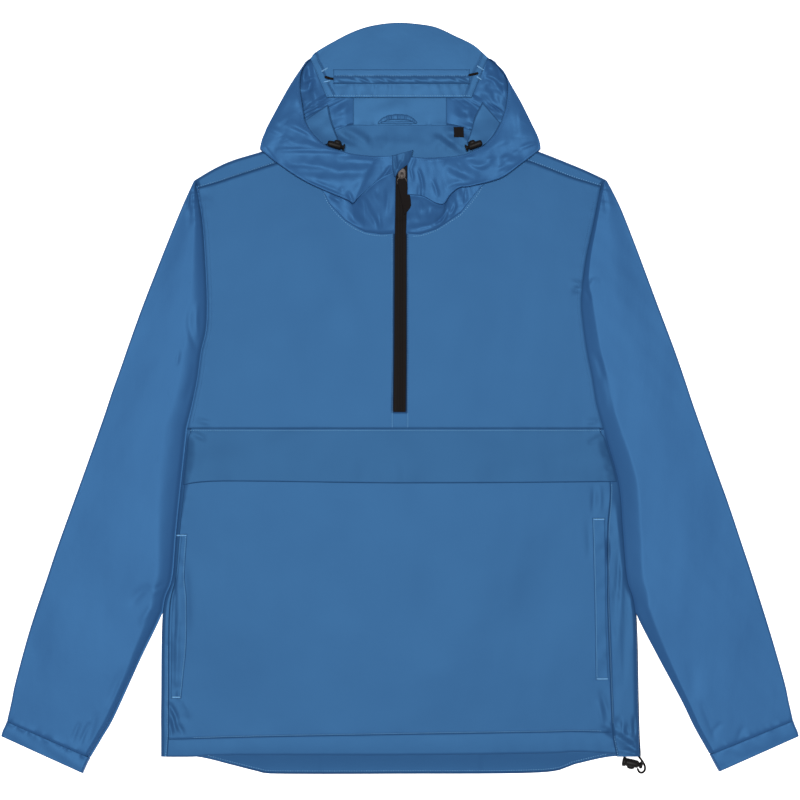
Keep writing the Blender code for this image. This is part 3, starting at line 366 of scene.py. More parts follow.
def near_path(x, y, path):
    """Distance from each point to a line of straight pieces, and how far along it the nearest place is."""
    x, y = np.broadcast_arrays(x, y)
    path = np.asarray(path, float)[:, :2]
    best = np.full(np.shape(x), np.inf)
    arc = np.zeros(np.shape(x))
    begun = 0.0
    for (sx, sy), (ex, ey) in zip(path[:-1], path[1:]):
        length = math.hypot(ex - sx, ey - sy)
        t = np.clip(((x - sx) * (ex - sx) + (y - sy) * (ey - sy)) / length ** 2, 0, 1)
        distance = np.hypot(x - sx - t * (ex - sx), y - sy - t * (ey - sy))
        nearer = distance < best
        best = np.where(nearer, distance, best)
        arc = np.where(nearer, begun + t * length, arc)
        begun += length
    return best, arc


def puckers(x, y, path, amount, pitch, reach, seed):
    """Gathers beside a seam: waves along the path that die away within reach of it."""
    distance, arc = near_path(x, y, path)
    return amount * ripple(arc, pitch, seed) * np.exp(-(distance / reach) ** 1.3)


def creases(x, y, rows):
    """Sum of bowed troughs and ridges.

    Each row is (x0, y0, x1, y1, bow, width, height): a line from one point to the other that bows to its
    left, with a bell-shaped section of that width. Height is below zero in a trough and fades out at both
    ends. A row with two widths is a drag line: its right flank has the first and its left flank the second.
    """
    x, y = np.broadcast_arrays(x, y)
    total = np.zeros(np.shape(x))
    for x0, y0, x1, y1, bow, *widths, height in rows:
        length = math.hypot(x1 - x0, y1 - y0)
        ux, uy = (x1 - x0) / length, (y1 - y0) / length
        share = ((x - x0) * ux + (y - y0) * uy) / length
        inside = np.clip(share, 0.0, 1.0)
        aside = (y - y0) * ux - (x - x0) * uy - 4 * bow * inside * (1 - inside)
        width = np.where(aside < 0, widths[0], widths[-1])
        total += height * np.sin(math.pi * inside) ** 0.7 * np.exp(-(aside / width) ** 2)
    return total


# %% Grids into cloth
def arc_lengths(grid):
    """Distance along the rows and down the columns of a grid, in metres, for the weave."""
    across = np.nan_to_num(np.linalg.norm(np.diff(grid, axis=1), axis=2))
    down = np.nan_to_num(np.linalg.norm(np.diff(grid, axis=0), axis=2))
    u = np.pad(np.cumsum(across, axis=1), ((0, 0), (1, 0)))
    v = np.pad(np.cumsum(down, axis=0), ((1, 0), (0, 0)))
    return np.stack([u, v], axis=-1) * MM


def sewn(name, grids, finish, replaced=(), thickness=0.4, offset=-1.0, body="garment"):
    """One object from grids of points in millimetres, sewn together wherever their points coincide.

    Points that agree to a thousandth of a millimetre become one. A cell whose corners include such a pair
    becomes a triangle, and a cell with a missing point is left out.
    """
    points = np.concatenate([g.reshape(-1, 3) for g in grids])
    flat = np.concatenate([arc_lengths(g).reshape(-1, 2) for g in grids])
    cells = []
    begun = 0
    for g in grids:
        number = begun + np.arange(g.shape[0] * g.shape[1]).reshape(g.shape[:2])
        cells.append(np.stack([number[:-1, :-1], number[1:, :-1], number[1:, 1:], number[:-1, 1:]],
                              axis=-1).reshape(-1, 4))
        begun += number.size
    cells = np.concatenate(cells)
    cells = cells[~np.isnan(points[cells]).any(axis=(1, 2))]
    _, first, same = np.unique(np.round(points, 3), axis=0, return_index=True, return_inverse=True)
    joined = same.reshape(-1)[cells]
    twin = joined == np.roll(joined, 1, axis=1)
    whole, corner = twin.sum(axis=1) == 0, twin.sum(axis=1) == 1
    quads, triangles = joined[whole], joined[corner][~twin[corner]].reshape(-1, 3)
    flat_at = np.concatenate([flat[cells[whole]].reshape(-1, 2),
                              flat[cells[corner]][~twin[corner]].reshape(-1, 2)])
    used, renumbered = np.unique(np.concatenate([quads.ravel(), triangles.ravel()]), return_inverse=True)
    renumbered = renumbered.reshape(-1)
    faces = renumbered[:quads.size].reshape(-1, 4).tolist() + renumbered[quads.size:].reshape(-1, 3).tolist()
    mesh = bpy.data.meshes.new(name)
    mesh.from_pydata((points[first[used]] * MM).tolist(), [], faces)
    mesh.uv_layers.new(name="cloth").data.foreach_set("uv", flat_at.ravel())
    mesh.shade_smooth()
    mesh.materials.append(finish)
    made = link(name, mesh)
    if thickness:
        shell_layer = made.modifiers.new("thickness", "SOLIDIFY")
        shell_layer.thickness = thickness * MM
        shell_layer.offset = offset
    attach(made, body)
    if replaced:
        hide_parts(*replaced)
    return made


def rolled(grid, borders, radius=0.8, turns=(35, 70, 105, 140, 170)):
    """A grid whose named borders turn under. The border moves in by the radius, so the outline stays.

    The new rows lie on a small half circle, at the turns, in degrees.
    """
    for border in borders.split():
        lines = {"top": grid, "bottom": grid[::-1], "left": grid.transpose(1, 0, 2),
                 "right": grid.transpose(1, 0, 2)[::-1]}[border]
        lines = lines.copy()
        outward = (lines[0] - lines[1]) * (1.0, 1.0, 0.0)
        outward /= np.maximum(np.linalg.norm(outward, axis=1), 1e-9)[:, None]
        lines[0] -= outward * radius
        tail = [lines[0] + outward * radius * math.sin(a) - np.array([0, 0, radius]) * (1 - math.cos(a))
                for a in np.radians(turns)]
        lines = np.concatenate([np.array(tail[::-1]), lines])
        grid = {"top": lines, "bottom": lines[::-1], "left": lines.transpose(1, 0, 2),
                "right": lines[::-1].transpose(1, 0, 2)}[border]
    return grid


def surface(x, y, z):
    """A grid of points from its three coordinates."""
    return np.stack(np.broadcast_arrays(x, y, z), axis=-1).astype(float)


def graded(count, ends=0.6):
    """Shares from 0 to 1 that lie closer together towards both ends."""
    t = np.linspace(0, 1, count)
    return t * (1 - ends) + (0.5 - 0.5 * np.cos(math.pi * t)) * ends


# %% [markdown]
# ## The edges of the body
#
# The back wraps round both sides and over both shoulders, so the garment's outline is fold, not seam, and the
# seams lie a few centimetres in on the front. Each table runs from neck to hem.

# %% Edges and seams
BODY_HEIGHT = 6.0
ARMPIT_Y = -35.0
SEAM = 0.05  # how far each panel stays back from the line of its seam
SEAM_ROLL = 0.1  # radius of the turn of a panel into its seam
HEM_ROLL = 0.04  # the same where the hem tunnel is sewn on
ZIP_END_Y = -16.0
ZIP_HALF = 7.5
SLIT = [
    # y, left x, right x
    (-36, -8.0, 6.8), (-16, -8.0, 6.8), (57, -6.9, 7.4), (193, -6.2, 7.4), (200, -6.1, 7.5)]
FOLD_DROP = 3.0  # radius of the folds along the sides and shoulders
SIDE_SOFT = [
    # y, how far in from a side fold the front reaches its full height, on the left and on the right
    (-20, 5, 5), (-48, 11, 12), (-80, 13, 14), (-110, 8, 12), (-150, 4, 7), (-190, 4, 5), (-430, 4, 5)]

SIDES = [
    # y, left fold x, left seam from fold, right fold x, right seam from fold
    (-35, -251, 4, 240, 4), (-98, -258, 4, 258, 10), (-156, -264, 4, 263, 18), (-212, -269, 4, 268, 23),
    (-252, -280, 8, 278, 33), (-360, -282, 9, 281, 32), (-396, -282, 9, 282, 31), (-423, -282, 7, 283, 27)]
ARMHOLES = [
    # y, left x, right x
    (262, -238, 236), (248, -238, 236), (206, -232, 228), (163, -229, 219), (116, -227, 214), (82, -228, 217),
    (55, -234, 221), (25, -238, 227), (-5, -244, 232), (-35, -251, 240)]
LEFT_SHOULDER = [
    # fold x, fold y, seam x, seam y
    (-242, 258, -238, 248), (-220, 271, -216, 254), (-198, 281, -192, 262), (-165, 291, -158, 273),
    (-130, 302, -127, 283), (-92, 313, -97, 293)]
RIGHT_SHOULDER = [
    # fold x, fold y, seam x, seam y
    (243, 258, 236, 250), (222, 268, 219, 255), (203, 276, 200, 261), (165, 291, 158, 277),
    (130, 302, 126, 287), (93, 313, 99, 296)]
BACK_NECK = [(-85, 315.5), (-77, 318.2), (-54, 322.6), (-27, 323), (0, 323), (27, 323), (54, 322.6),
             (77, 318.2), (85, 315.5)]
NECK_LEFT = [(-94, 270), (-89, 248), (-83, 231), (-63, 209), (-41, 197), (-22, 194), (-7.5, 195)]
NECK_RIGHT = [(98, 272), (94, 248), (72, 220), (59, 211), (42, 200), (23, 194), (7.5, 194)]
BACK_HEM = [(-290, -423), (-241, -423), (-198, -433), (-166, -441), (-142, -443.5), (0, -443.5), (165, -442),
            (207, -432), (249, -423), (290, -423)]
FRONT_HEM = [(-290, -423), (-242, -423), (-198, -421), (0, -421), (165, -419), (207, -417), (256, -420),
             (290, -421)]
HEM_STITCH = [(-290, -402), (-261, -402), (-142, -399), (165, -394), (203, -393), (290, -395)]
FLAP_EDGE = [(-290, -103), (-262, -103), (-209, -98), (-33, -100), (85, -100), (214, -99), (290, -98)]
LEFT_WELT = [
    # y, left x, right x
    (-160, -257.5, -251), (-207, -262.5, -254), (-240, -268, -251.5), (-291, -270, -252),
    (-323, -270, -255), (-354, -270.5, -258)]
RIGHT_WELT = [
    # y, left x, right x
    (-141, 227, 242), (-217, 229, 243), (-265, 230, 243.5), (-332, 231, 246)]


def columns(rows, *wanted):
    """Some columns of a table."""
    return [tuple(row[k] for k in wanted) for row in rows]


def left_edge(y):
    """Where the body's left side lies: the armhole seam, then the side fold."""
    return np.where(y > ARMPIT_Y, along(columns(ARMHOLES, 0, 1), y), along(columns(SIDES, 0, 1), y))


def right_edge(y):
    """Where the body's right side lies."""
    return np.where(y > ARMPIT_Y, along(columns(ARMHOLES, 0, 2), y), along(columns(SIDES, 0, 3), y))


def left_seam(y):
    """The left side seam, which lies in on the front."""
    return along([(r[0], r[1] + r[2]) for r in SIDES], y)


def right_seam(y):
    """The right side seam, which lies further in."""
    return along([(r[0], r[3] - r[4]) for r in SIDES], y)


seam_levels = np.linspace(ARMPIT_Y, -423, 60)
left_side_seam = np.stack([left_seam(seam_levels), seam_levels], axis=-1)
right_side_seam = np.stack([right_seam(seam_levels), seam_levels], axis=-1)
armhole_levels = np.linspace(252, ARMPIT_Y, 50)
left_armhole = np.stack([left_edge(armhole_levels), armhole_levels], axis=-1)
right_armhole = np.stack([right_edge(armhole_levels), armhole_levels], axis=-1)
left_shoulder_seam = spline(columns(LEFT_SHOULDER, 2, 3), 6)
right_shoulder_seam = spline(columns(RIGHT_SHOULDER, 2, 3), 6)
across_body = np.linspace(-275, 275, 90)
hem_seam = np.stack([across_body, along(HEM_STITCH, across_body)], axis=-1)
print("chest", round(float(right_edge(-98.0) - left_edge(-98.0))), "mm between the side folds")

# %% [markdown]
# ## The height of the front
#
# Yoke, flap, lower front, hem and welts are one surface to the eye, so one function gives the height of them
# all and no seam can gape. It starts level, rolls down to the side folds, and then takes every crease: the
# pinch at the right armhole, gathers at the left shoulder, the drag lines below the left welt and the small
# vertical pleats where the drawcord tightens the right corner of the hem.

# %% Height of the front
FRONT_CREASES = [
    # x0, y0, x1, y1, bow, width, height
    (215.9, 130.4, 203, 126.8, 0.8, 2.2, -0.8), (215.9, 135.1, 200.6, 137.5, 0.6, 2.4, 0.5),
    (-236, 246, -221.8, 231.9, 1.5, 2.2, -0.35), (-237.2, 234.2, -226.6, 217.7, 1, 2, 0.3),
    (-240.7, -25.4, -221.8, -30.1, 0.6, 2.4, 0.5), (-247.8, -39.5, -228.9, -49, 0.6, 3, -0.5),
    (233.6, -25.4, 217.1, -27.7, 0.6, 2.4, 0.45), (237.2, -44.2, 221.8, -53.7, 0.6, 3, -0.4),
    (-118, 201.2, -59, 63.1, 10, 26, 0.5), (108.6, 210.6, 70.8, 39.5, -12, 28, 0.5),
    (-153.4, 116.2, -129.8, -25.4, 8, 24, -0.4), (-200.6, -131.6, -153.4, -379.4, 14, 30, 0.6),
    (-59, -119.8, -88.5, -391.2, -12, 34, -0.45), (80.2, -119.8, 59, -391.2, 10, 32, 0.5),
    (188.8, -131.6, 159.3, -379.4, -12, 30, -0.5), (-274.9, -358.1, -262, -381.7, 1.2, 2.2, -1),
    (-271.4, -369.9, -264.3, -394.7, 1, 2, 0.8), (-266.7, -381.7, -254.9, -397.1, 1, 2.2, -0.9),
    (-273.8, -379.4, -269, -398.2, 0.6, 1.8, -0.8), (-257.2, -355.8, -245.4, -374.6, 1, 3, 0.4),
    (-258.4, -374.6, -247.8, -381.7, 0.6, 2, -0.4), (-266.7, -237.8, -266.7, -285, 0.8, 2.2, -0.7),
    (-263.1, -255.5, -264.3, -344, 0.8, 2.4, 0.6), (-269, -190.6, -265.5, -244.8, 0.6, 2, -0.8),
    (-259.6, -355.8, -262, -344, 0.4, 2, 0.5), (-254.9, -190.6, -252.5, -285, 1.2, 5, -0.5),
    (234.8, -387.6, 285.6, -420.7, 1.6, 1.8, -1.3), (243.1, -384.1, 285.6, -411.2, 1.6, 2, 1),
    (250.2, -408.9, 284.4, -415.9, 0.8, 1.6, -1), (252.5, -412.4, 283.2, -421.8, 0.6, 1.6, 0.88),
    (250.2, -381.7, 253.7, -400.6, 0.4, 1.5, -1.12), (256.1, -374.6, 260.8, -400.6, 0.5, 1.5, -1.25),
    (262, -377, 264.3, -399.4, 0.4, 1.5, 1.12), (267.9, -384.1, 268.4, -399.4, 0.3, 1.4, -1.25),
    (276.1, -374.6, 276.7, -399.4, 0.3, 1.5, -1.38), (263.1, -404.1, 282, -404.1, -3, 1.3, -1.12),
    (272.6, -190.6, 274.9, -249.6, 1.2, 1.22, -0.59), (270.2, -214.2, 276.1, -296.8, 1.5, 1.59, 0.59),
    (256.1, -285, 257.2, -355.8, 0.6, 1.1, -0.53), (262, -190.6, 254.9, -308.6, 1.5, 2.14, 0.59),
    (251.3, -226, 250.2, -285, 0.6, 1.22, -0.59), (254.9, -119.8, 258.4, -167, 0.6, 3, 0.4),
    (236, -344, 246.6, -381.7, 1, 3, -0.5), (233.6, -355.8, 239.5, -388.8, 0.6, 2.4, 0.4),
    (228.9, -103.2, 227.7, -136.3, 0.4, 2.4, -0.45), (236, -103.2, 236, -133.9, 0.4, 2.4, 0.35),
    (221.8, -143.4, 224.2, -190.6, 0.6, 4, -0.35),
    (244.6, -165.5, 244.6, -194.5, 0.2, 1.1, -1.7), (268, -150, 262, -215, 1.5, 1.63, 0.43),
    (257.5, -178, 253.5, -262, 1, 1.36, -0.5), (266, -262, 263, -345, 1, 1.77, -0.43),
    (276.5, -205, 279, -262, 0.6, 1.36, -0.5), (249.5, -318, 252.5, -372, 0.6, 1.36, -0.43),
]
FRONT_GATHERS = [
    # line of the seam, height, pitch, reach, seed
    (left_armhole, 0.12, 4.0, 6.0, 11), (right_armhole, 0.12, 4.0, 6.0, 12),
    (left_shoulder_seam, 0.14, 4.5, 4.0, 13), (right_shoulder_seam, 0.14, 4.5, 4.0, 14),
    (left_side_seam, 0.25, 6.0, 5.0, 15), (right_side_seam, 0.25, 6.0, 5.0, 16),
    (hem_seam, 0.16, 4.0, 5.0, 17), ([(-260, ARMPIT_Y), (260, ARMPIT_Y)], 0.16, 3.2, 4.0, 18),
    ([(-ZIP_HALF, 200), (-ZIP_HALF, -30)], 0.15, 5.0, 4.0, 19),
    ([(ZIP_HALF, 200), (ZIP_HALF, -30)], 0.15, 5.0, 4.0, 20)]


def front_top(x, y):
    """Height of the front's outer face, in millimetres.

    Below the armpit it falls to each side fold: by half in the last few millimetres, on a quarter ellipse,
    and by half over the wider strip that SIDE_SOFT gives. Swells, creases and gathers are added to that.
    """
    x, y = np.broadcast_arrays(np.asarray(x, float), np.asarray(y, float))
    height = np.full(x.shape, BODY_HEIGHT)
    below = 1.0 - eased(y, ARMPIT_Y - 25, ARMPIT_Y)
    for side, edge, soft in ((1, left_edge(y), along(columns(SIDE_SOFT, 0, 1), y)),
                             (-1, right_edge(y), along(columns(SIDE_SOFT, 0, 2), y))):
        inward = side * (x - edge)
        height -= FOLD_DROP * below * (0.5 * (1 - rounded(inward / 2.5)) + 0.5 * (1 - ramped(inward / soft)))
    height += 0.22 * swell(x, y, 130, 3) + 0.03 * swell(x, y, 34, 4)
    height += creases(x, y, FRONT_CREASES)
    for gathers in FRONT_GATHERS:
        height += puckers(x, y, *gathers)
    return height


# %% [markdown]
# ## Yoke
#
# The yoke is the largest plain area. It is cut with an armhole on each side and slit down the middle for the
# zip. Each half is a grid whose columns start on the shoulder seam and the neckline and fall to the seam
# above the pocket. A small patch joins them below the zip's end.

# %% Yoke
LAP = 3.0  # how far the yoke reaches under the hood
YOKE_END_Y = ARMPIT_Y + 0.02
BELOW_ZIP = 9  # rows between the zip's end and the flap


def yoke_half(side, shoulder, neck, edge):
    """Half of the yoke in rows from the neck down, and how many of them end at the slit."""
    line = spline(columns(shoulder, 2, 3) + [(x - side * LAP, y + LAP) for x, y in neck[:-1]], 8)
    slit = columns(SLIT, 0, 1 if side < 0 else 2)
    line = np.concatenate([line, [(along(slit, neck[-1][1] + LAP), neck[-1][1] + LAP)]])
    line = resample(line, 3.0)
    line[:, 1] -= SEAM
    start = edge(line[:, 1])
    share = (line[:, 0] - start) / (line[-1, 0] - start)
    share[0], share[-1] = 0.0, 1.0
    down = np.linspace(0, 1, 92)[:, None]
    y = line[:, 1] + down * (ZIP_END_Y - line[:, 1])
    low = np.linspace(ZIP_END_Y, YOKE_END_Y, BELOW_ZIP)[1:, None] + 0 * share
    y = np.concatenate([y, low])
    x = edge(y) + share * (along(slit, y) - edge(y))
    return surface(x, y, front_top(x, y)), len(down)


yoke_grids = []
for side, shoulder, neck, edge in ((-1, LEFT_SHOULDER, NECK_LEFT, left_edge),
                                   (1, RIGHT_SHOULDER, NECK_RIGHT, right_edge)):
    half, above = yoke_half(side, shoulder, neck, edge)
    slit_edge = rolled(np.stack([half[:above, -2], half[:above, -1]], axis=1), "right", 0.4)[:, 1:]
    slit_edge[:, 0] = half[:above, -1]
    body_part = rolled(half, "top bottom left", SEAM_ROLL)
    if side > 0:
        body_part, slit_edge = body_part[:, ::-1], slit_edge[:, ::-1]
    yoke_grids += [body_part, slit_edge]
patch_y = np.linspace(ZIP_END_Y, YOKE_END_Y, BELOW_ZIP)[:, None]
patch_ends = [along(columns(SLIT, 0, k), patch_y) for k in (1, 2)]
patch_x = patch_ends[0] + (patch_ends[1] - patch_ends[0]) * np.linspace(0, 1, 7)[None, :]
yoke_grids.append(rolled(surface(patch_x, patch_y, front_top(patch_x, patch_y)), "bottom", SEAM_ROLL))
yoke = sewn("front_yoke_cloth", yoke_grids, shell, ["front_yoke"])
print("yoke", len(yoke.data.polygons), "cells")

# %% [markdown]
# ## Pocket flap, lower front, hem and welts
#
# The flap is sewn in with the yoke and lies loose along its lower edge, so the edge waves a little and throws
# a thin shadow. Its cloth is a darker copy of the nylon: a painted shade. Below it the lower front runs down
# to the hem, which is turned up into a tunnel for a cord. Two welts stand on it beside the side seams, each a
# narrow folded strip.

# %% Flap, lower front, hem and welts
FLAP_RISE = 1.5
FLAP_SEAM_Y, FLAP_END_Y = ARMPIT_Y - SEAM, -100
UNDER_FLAP_Y = ARMPIT_Y - 6  # where the lower front ends, hidden under the flap
LOWER_END_Y = -398
HEM_SEAM_Y = -402.0
ACROSS = graded(150)[None, :]  # shares of the way across the front


def flap_side(y, edge, seam, inset):
    """The flap's side: at the side seam where it is sewn in, then out to the side fold."""
    out = eased(y, -46, -40)
    return seam(y) * out + (edge(y) + inset) * (1 - out)


def flap_top(x, y, reach):
    """Height of the flap, where reach runs from 0 at its seam to 1 at its loose edge."""
    loose = eased(reach, 0.2, 1.0) * (0.40 * ripple(x, 38, 31) + 0.12 * ripple(x, 11, 32))
    return front_top(x, y) + FLAP_RISE * (0.7 + 0.3 * reach) + loose + 0.15 * swell(x, y, 60, 33)


level = np.linspace(FLAP_SEAM_Y, FLAP_END_Y, 30)[:, None]
left, right = flap_side(level, left_edge, left_seam, 2.0), flap_side(level, right_edge, right_seam, -2.0)
x = left + (right - left) * ACROSS
reach = (FLAP_SEAM_Y - level) / (FLAP_SEAM_Y - FLAP_END_Y)
y = FLAP_SEAM_Y + reach * (along(FLAP_EDGE, x) - FLAP_SEAM_Y)
flap = rolled(rolled(surface(x, y, flap_top(x, y, reach)), "left right", 0.8), "bottom", 1.2)
flap = sewn("pocket_flap_cloth", [rolled(flap, "top", SEAM_ROLL)], shell_flap_painted_shade, ["pocket_flap"])

fall = np.linspace(0, 1, 112)[:, None]
level = UNDER_FLAP_Y + fall * (LOWER_END_Y - UNDER_FLAP_Y)
x = left_seam(level) + SEAM + ACROSS * (right_seam(level) - left_seam(level) - 2 * SEAM)
y = UNDER_FLAP_Y + fall * (along(HEM_STITCH, x) + SEAM - UNDER_FLAP_Y)
lower = rolled(rolled(surface(x, y, front_top(x, y)), "left right", SEAM_ROLL), "bottom", HEM_ROLL)
lower = sewn("front_lower_cloth", [lower], shell, ["front_lower"])

fall = np.linspace(0, 1, 9)[:, None]
left, right = left_seam(HEM_SEAM_Y), right_seam(HEM_SEAM_Y)
x = left + SEAM + ACROSS * (right - left - 2 * SEAM)
y = along(HEM_STITCH, x) + fall * (along(FRONT_HEM, x) - along(HEM_STITCH, x))
x = x + (left_seam(y) - left) * (ACROSS < 0.5) + (right_seam(y) - right) * (ACROSS > 0.5)
z = front_top(x, y) + 0.2 * np.sin(math.pi * fall) + 0.12 * ripple(x, 7, 41) * fall
hem = rolled(rolled(rolled(surface(x, y, z), "left right", SEAM_ROLL), "bottom", 0.8), "top", HEM_ROLL)
hem = sewn("front_hem_cloth", [hem], shell, ["front_hem"])


def welt(name, rows, node, seed):
    """A narrow folded strip on the front: a raised hem along its opening and a flat stitched side."""
    levels = np.linspace(rows[0][0], rows[-1][0], 70)[:, None]
    share = np.linspace(0, 1, 9)[None, :]
    left, right = along(columns(rows, 0, 1), levels), along(columns(rows, 0, 2), levels)
    x = left + (right - left) * share
    y = levels + 0 * x
    z = front_top(x, y) + 0.7 + 0.25 * ripple(y, 9, seed) * np.sin(math.pi * share)
    made = sewn(name, [rolled(surface(x, y, z), "top bottom left right", 0.4)], shell, [node])


welt("pocket_welt_left_cloth", LEFT_WELT, "pocket_welt_left", 51)
welt("pocket_welt_right_cloth", RIGHT_WELT, "pocket_welt_right", 52)
print("flap, lower front, hem and welts made")

# %% [markdown]
# ## Back
#
# The back lies on the table under everything. It shows as narrow strips, wrapped over the shoulders and round
# the sides, then inside the neck, and as the dropped tail below the front hem. It is one grid. Its first rows
# run over the shoulders and its outer columns run round the sides, in section a flat, a fold and a flat
# again.

# %% Back
FOLD_TURN = 12  # steps round the fold
TOPS = 12  # steps from the seam to the fold
TAIL_Y = -420.0
NECK_CREASES = [
    # x0, y0, x1, y1, bow, width, height
    (-70, 318, -30, 292, 5, 5.0, 1.6), (-56, 320, -20, 288, 4, 4.0, -0.4), (-84, 306, -46, 290, 3, 4.0, 1.2),
    (70, 318, 34, 290, -5, 5.0, 1.5), (52, 320, 24, 288, -4, 4.0, -0.3), (84, 304, 50, 288, -3, 4.0, 1.3),
    (-76.7, 318, -55.5, 297, 1, 4.0, -1.9), (-31, 320, -34, 293, 0.5, 2.0, -1.1),
    (-34, 318, -20, 289, 0.8, 2.0, 1.0), (44, 316, 75, 291, 1, 3.0, -2.0), (57, 319, 84, 300, 1, 3.0, 1.7),
    (36, 312, 66, 288, 1, 2.4, 1.2), (-12, 321, -18, 290, 2, 5.0, 1.0), (16, 321, 12, 292, 2, 5.0, 0.8),
    (-36, 300, 36, 298, 2, 7.0, 0.7),
]


def neck_inside(x, y):
    """How far the inside of the back stands off the table behind the neck."""
    return (0.55 * creases(x, y, NECK_CREASES) + 0.12 * swell(x, y, 30, 61) + 0.5) * eased(y, 262, 285)


def fold_line(reach, tops):
    """A fold in section, for an array of reaches.

    Distance in from the fold and height, from the end of its top layer to the table. The height of the top
    layer is left open (NaN), because the front gives it.
    """
    reach = np.asarray(reach, float)[:, None]
    angle = np.linspace(0, math.pi / 2, FOLD_TURN)[None, 1:]
    top = reach * np.linspace(1, 0, tops)[None, :] ** 2
    turn = FOLD_DROP * (1 - np.cos(angle)) + 0 * reach
    height = 0.35 + (FOLD_DROP - 0.35) * (1 - np.sin(angle)) + 0 * reach
    return np.concatenate([top, turn], axis=1), np.concatenate([top * np.nan, height], axis=1)


shoulders = np.concatenate([spline(LEFT_SHOULDER, 5), spline(RIGHT_SHOULDER, 5)[::-1]])
fold, seam = shoulders[:, :2], shoulders[:, 2:]
inward = (seam - fold) / np.linalg.norm(seam - fold, axis=1)[:, None]
half_count = len(shoulders) // 2
neck_line = spline([(x, y + 2.6) for x, y in BACK_NECK], 5)
top_line = np.concatenate([(fold + FOLD_DROP * inward)[:half_count], neck_line,
                           (fold + FOLD_DROP * inward)[half_count:]])


def body_share(x, y):
    """Share of the way between the body's two edges, less the radius of their folds."""
    return (x - left_edge(y) - FOLD_DROP) / (right_edge(y) - left_edge(y) - 2 * FOLD_DROP)


share = body_share(top_line[:, 0], top_line[:, 1])
share[0], share[-1] = 0.0, 1.0
down = np.concatenate([np.linspace(0, 0.14, 20), np.linspace(0.14, 1, 22)[1:]])[:, None]
core_y = top_line[:, 1] + down * (ARMPIT_Y - top_line[:, 1])
core_y = np.concatenate([core_y, np.linspace(ARMPIT_Y, TAIL_Y, 130)[1:, None] + 0 * share])
core_x = left_edge(core_y) + FOLD_DROP + share * (right_edge(core_y) - left_edge(core_y) - 2 * FOLD_DROP)
core_x[0] = top_line[:, 0]
hem_x = np.repeat(core_x[-1][None], 7, axis=0)
hem_y = TAIL_Y + np.linspace(0, 1, 8)[1:, None] * (along(BACK_HEM, hem_x) - TAIL_Y)
core_x, core_y = np.concatenate([core_x, hem_x]), np.concatenate([core_y, hem_y])


def back_inside(x, y):
    """Height of the back's lower layer, which shows inside the neck and as the tail."""
    tail = 1 - eased(y, -425, -405)
    slope = eased(-y, 400, 416) * (1 - ramped((-y - 416) / 27.0))
    return 0.45 + neck_inside(x, y) + 2.2 * slope + tail * (0.5 + 0.25 * ripple(x, 9, 62))


core = surface(core_x, core_y, back_inside(core_x, core_y))

distance, height = fold_line(np.linalg.norm(seam - fold, axis=1), TOPS)
place = fold[:, None] + distance[..., None] * inward[:, None]
on_top = FOLD_DROP + (front_top(place[..., 0], place[..., 1]) - FOLD_DROP) * rounded(distance / 3.0)
line = surface(place[..., 0], place[..., 1], np.where(np.isnan(height), on_top, height)).transpose(1, 0, 2)
over = np.full((line.shape[0], core.shape[1], 3), np.nan)
over[:, :half_count] = line[:, :half_count]
over[:, -half_count:] = line[:, half_count:]
sheet = np.concatenate([over[:-1], core])

sides = []
for edge, seam_of, column, sign in ((left_edge, left_seam, 0, 1), (right_edge, right_seam, -1, -1)):
    rows = np.nonzero(sheet[:, column, 1] <= ARMPIT_Y + 0.01)[0]
    y = sheet[rows, column, 1]
    distance, height = fold_line(abs(seam_of(y) - edge(y)), TOPS + 4)
    x = edge(y)[:, None] + sign * distance
    strip = np.full((len(sheet), x.shape[1], 3), np.nan)
    level = y[:, None] + 0 * x
    strip[rows] = surface(x, level, np.where(np.isnan(height), front_top(x, level), height))
    strip[rows, -1] = sheet[rows, column]
    sides.append(strip)
sheet = np.concatenate([sides[0][:, :-1], sheet, sides[1][:, ::-1][:, 1:]], axis=1)
back = sewn("back_cloth", [sheet], shell, ["back"], thickness=0.4, offset=0.0)
print("back", len(back.data.polygons), "cells")

# %% [markdown]
# ## Sleeves
#
# A set-in sleeve laid flat is a flattened tube. It is fullest along its middle, rounds off at the outer fold
# and drops into a valley where the body's edge lies over it. Above the armpit that edge is the armhole seam.
# Below it sleeve and body only lie side by side, and the valley is wider. A sleeve's section is therefore two
# quarter ellipses with a soft crown between them, and the width of the inner one varies down the sleeve.
# Long shallow dents run down from the armpit and the elbow, and the cuff's elastic draws in short gathers.

# %% Sleeves
LEFT_SLEEVE = [
    # outer x, outer y, inner x, inner y; None stands for the body's edge there
    (-243.5, 257, -239.7, 249.3), (-250, 243, None, 237), (-258, 225, None, 206), (-274, 186, None, 163),
    (-291, 143, None, 116), (-306, 104, None, 82), (-320, 65, None, 55), (-330, 36, None, 25),
    (-340, 8, None, -5), (-350, -22, None, -35), (-369, -76, None, -98), (-387, -126, None, -156),
    (-405, -176, None, -212), (-417, -212, None, -252), (-437, -272, -307, -309), (-454, -334, -337, -375),
    (-459, -358, -351, -399.5), (-464, -380, -365, -423)]
RIGHT_SLEEVE = [
    # outer x, outer y, inner x, inner y
    (244.5, 257, 237.6, 250.2), (252, 243, None, 237), (262, 222, None, 206), (277, 184, None, 163),
    (292, 144, None, 116), (305, 109, None, 82), (316, 80, None, 55), (326, 53, None, 25),
    (336, 24, None, -5), (348, -12, None, -35), (370, -74, None, -98), (388, -124, None, -156),
    (405, -175, None, -212), (416, -208, None, -252), (437, -275, 302, -300), (454, -334, 332, -356),
    (459, -357, 347, -387), (464, -379, 365, -419)]
LAST_BESIDE_BODY = 13
FIRST_CLOSED = 9
SLEEVE_STEPS = 13
SLEEVE_SOFT = 1.8  # how far in from its outer fold a sleeve reaches its full height
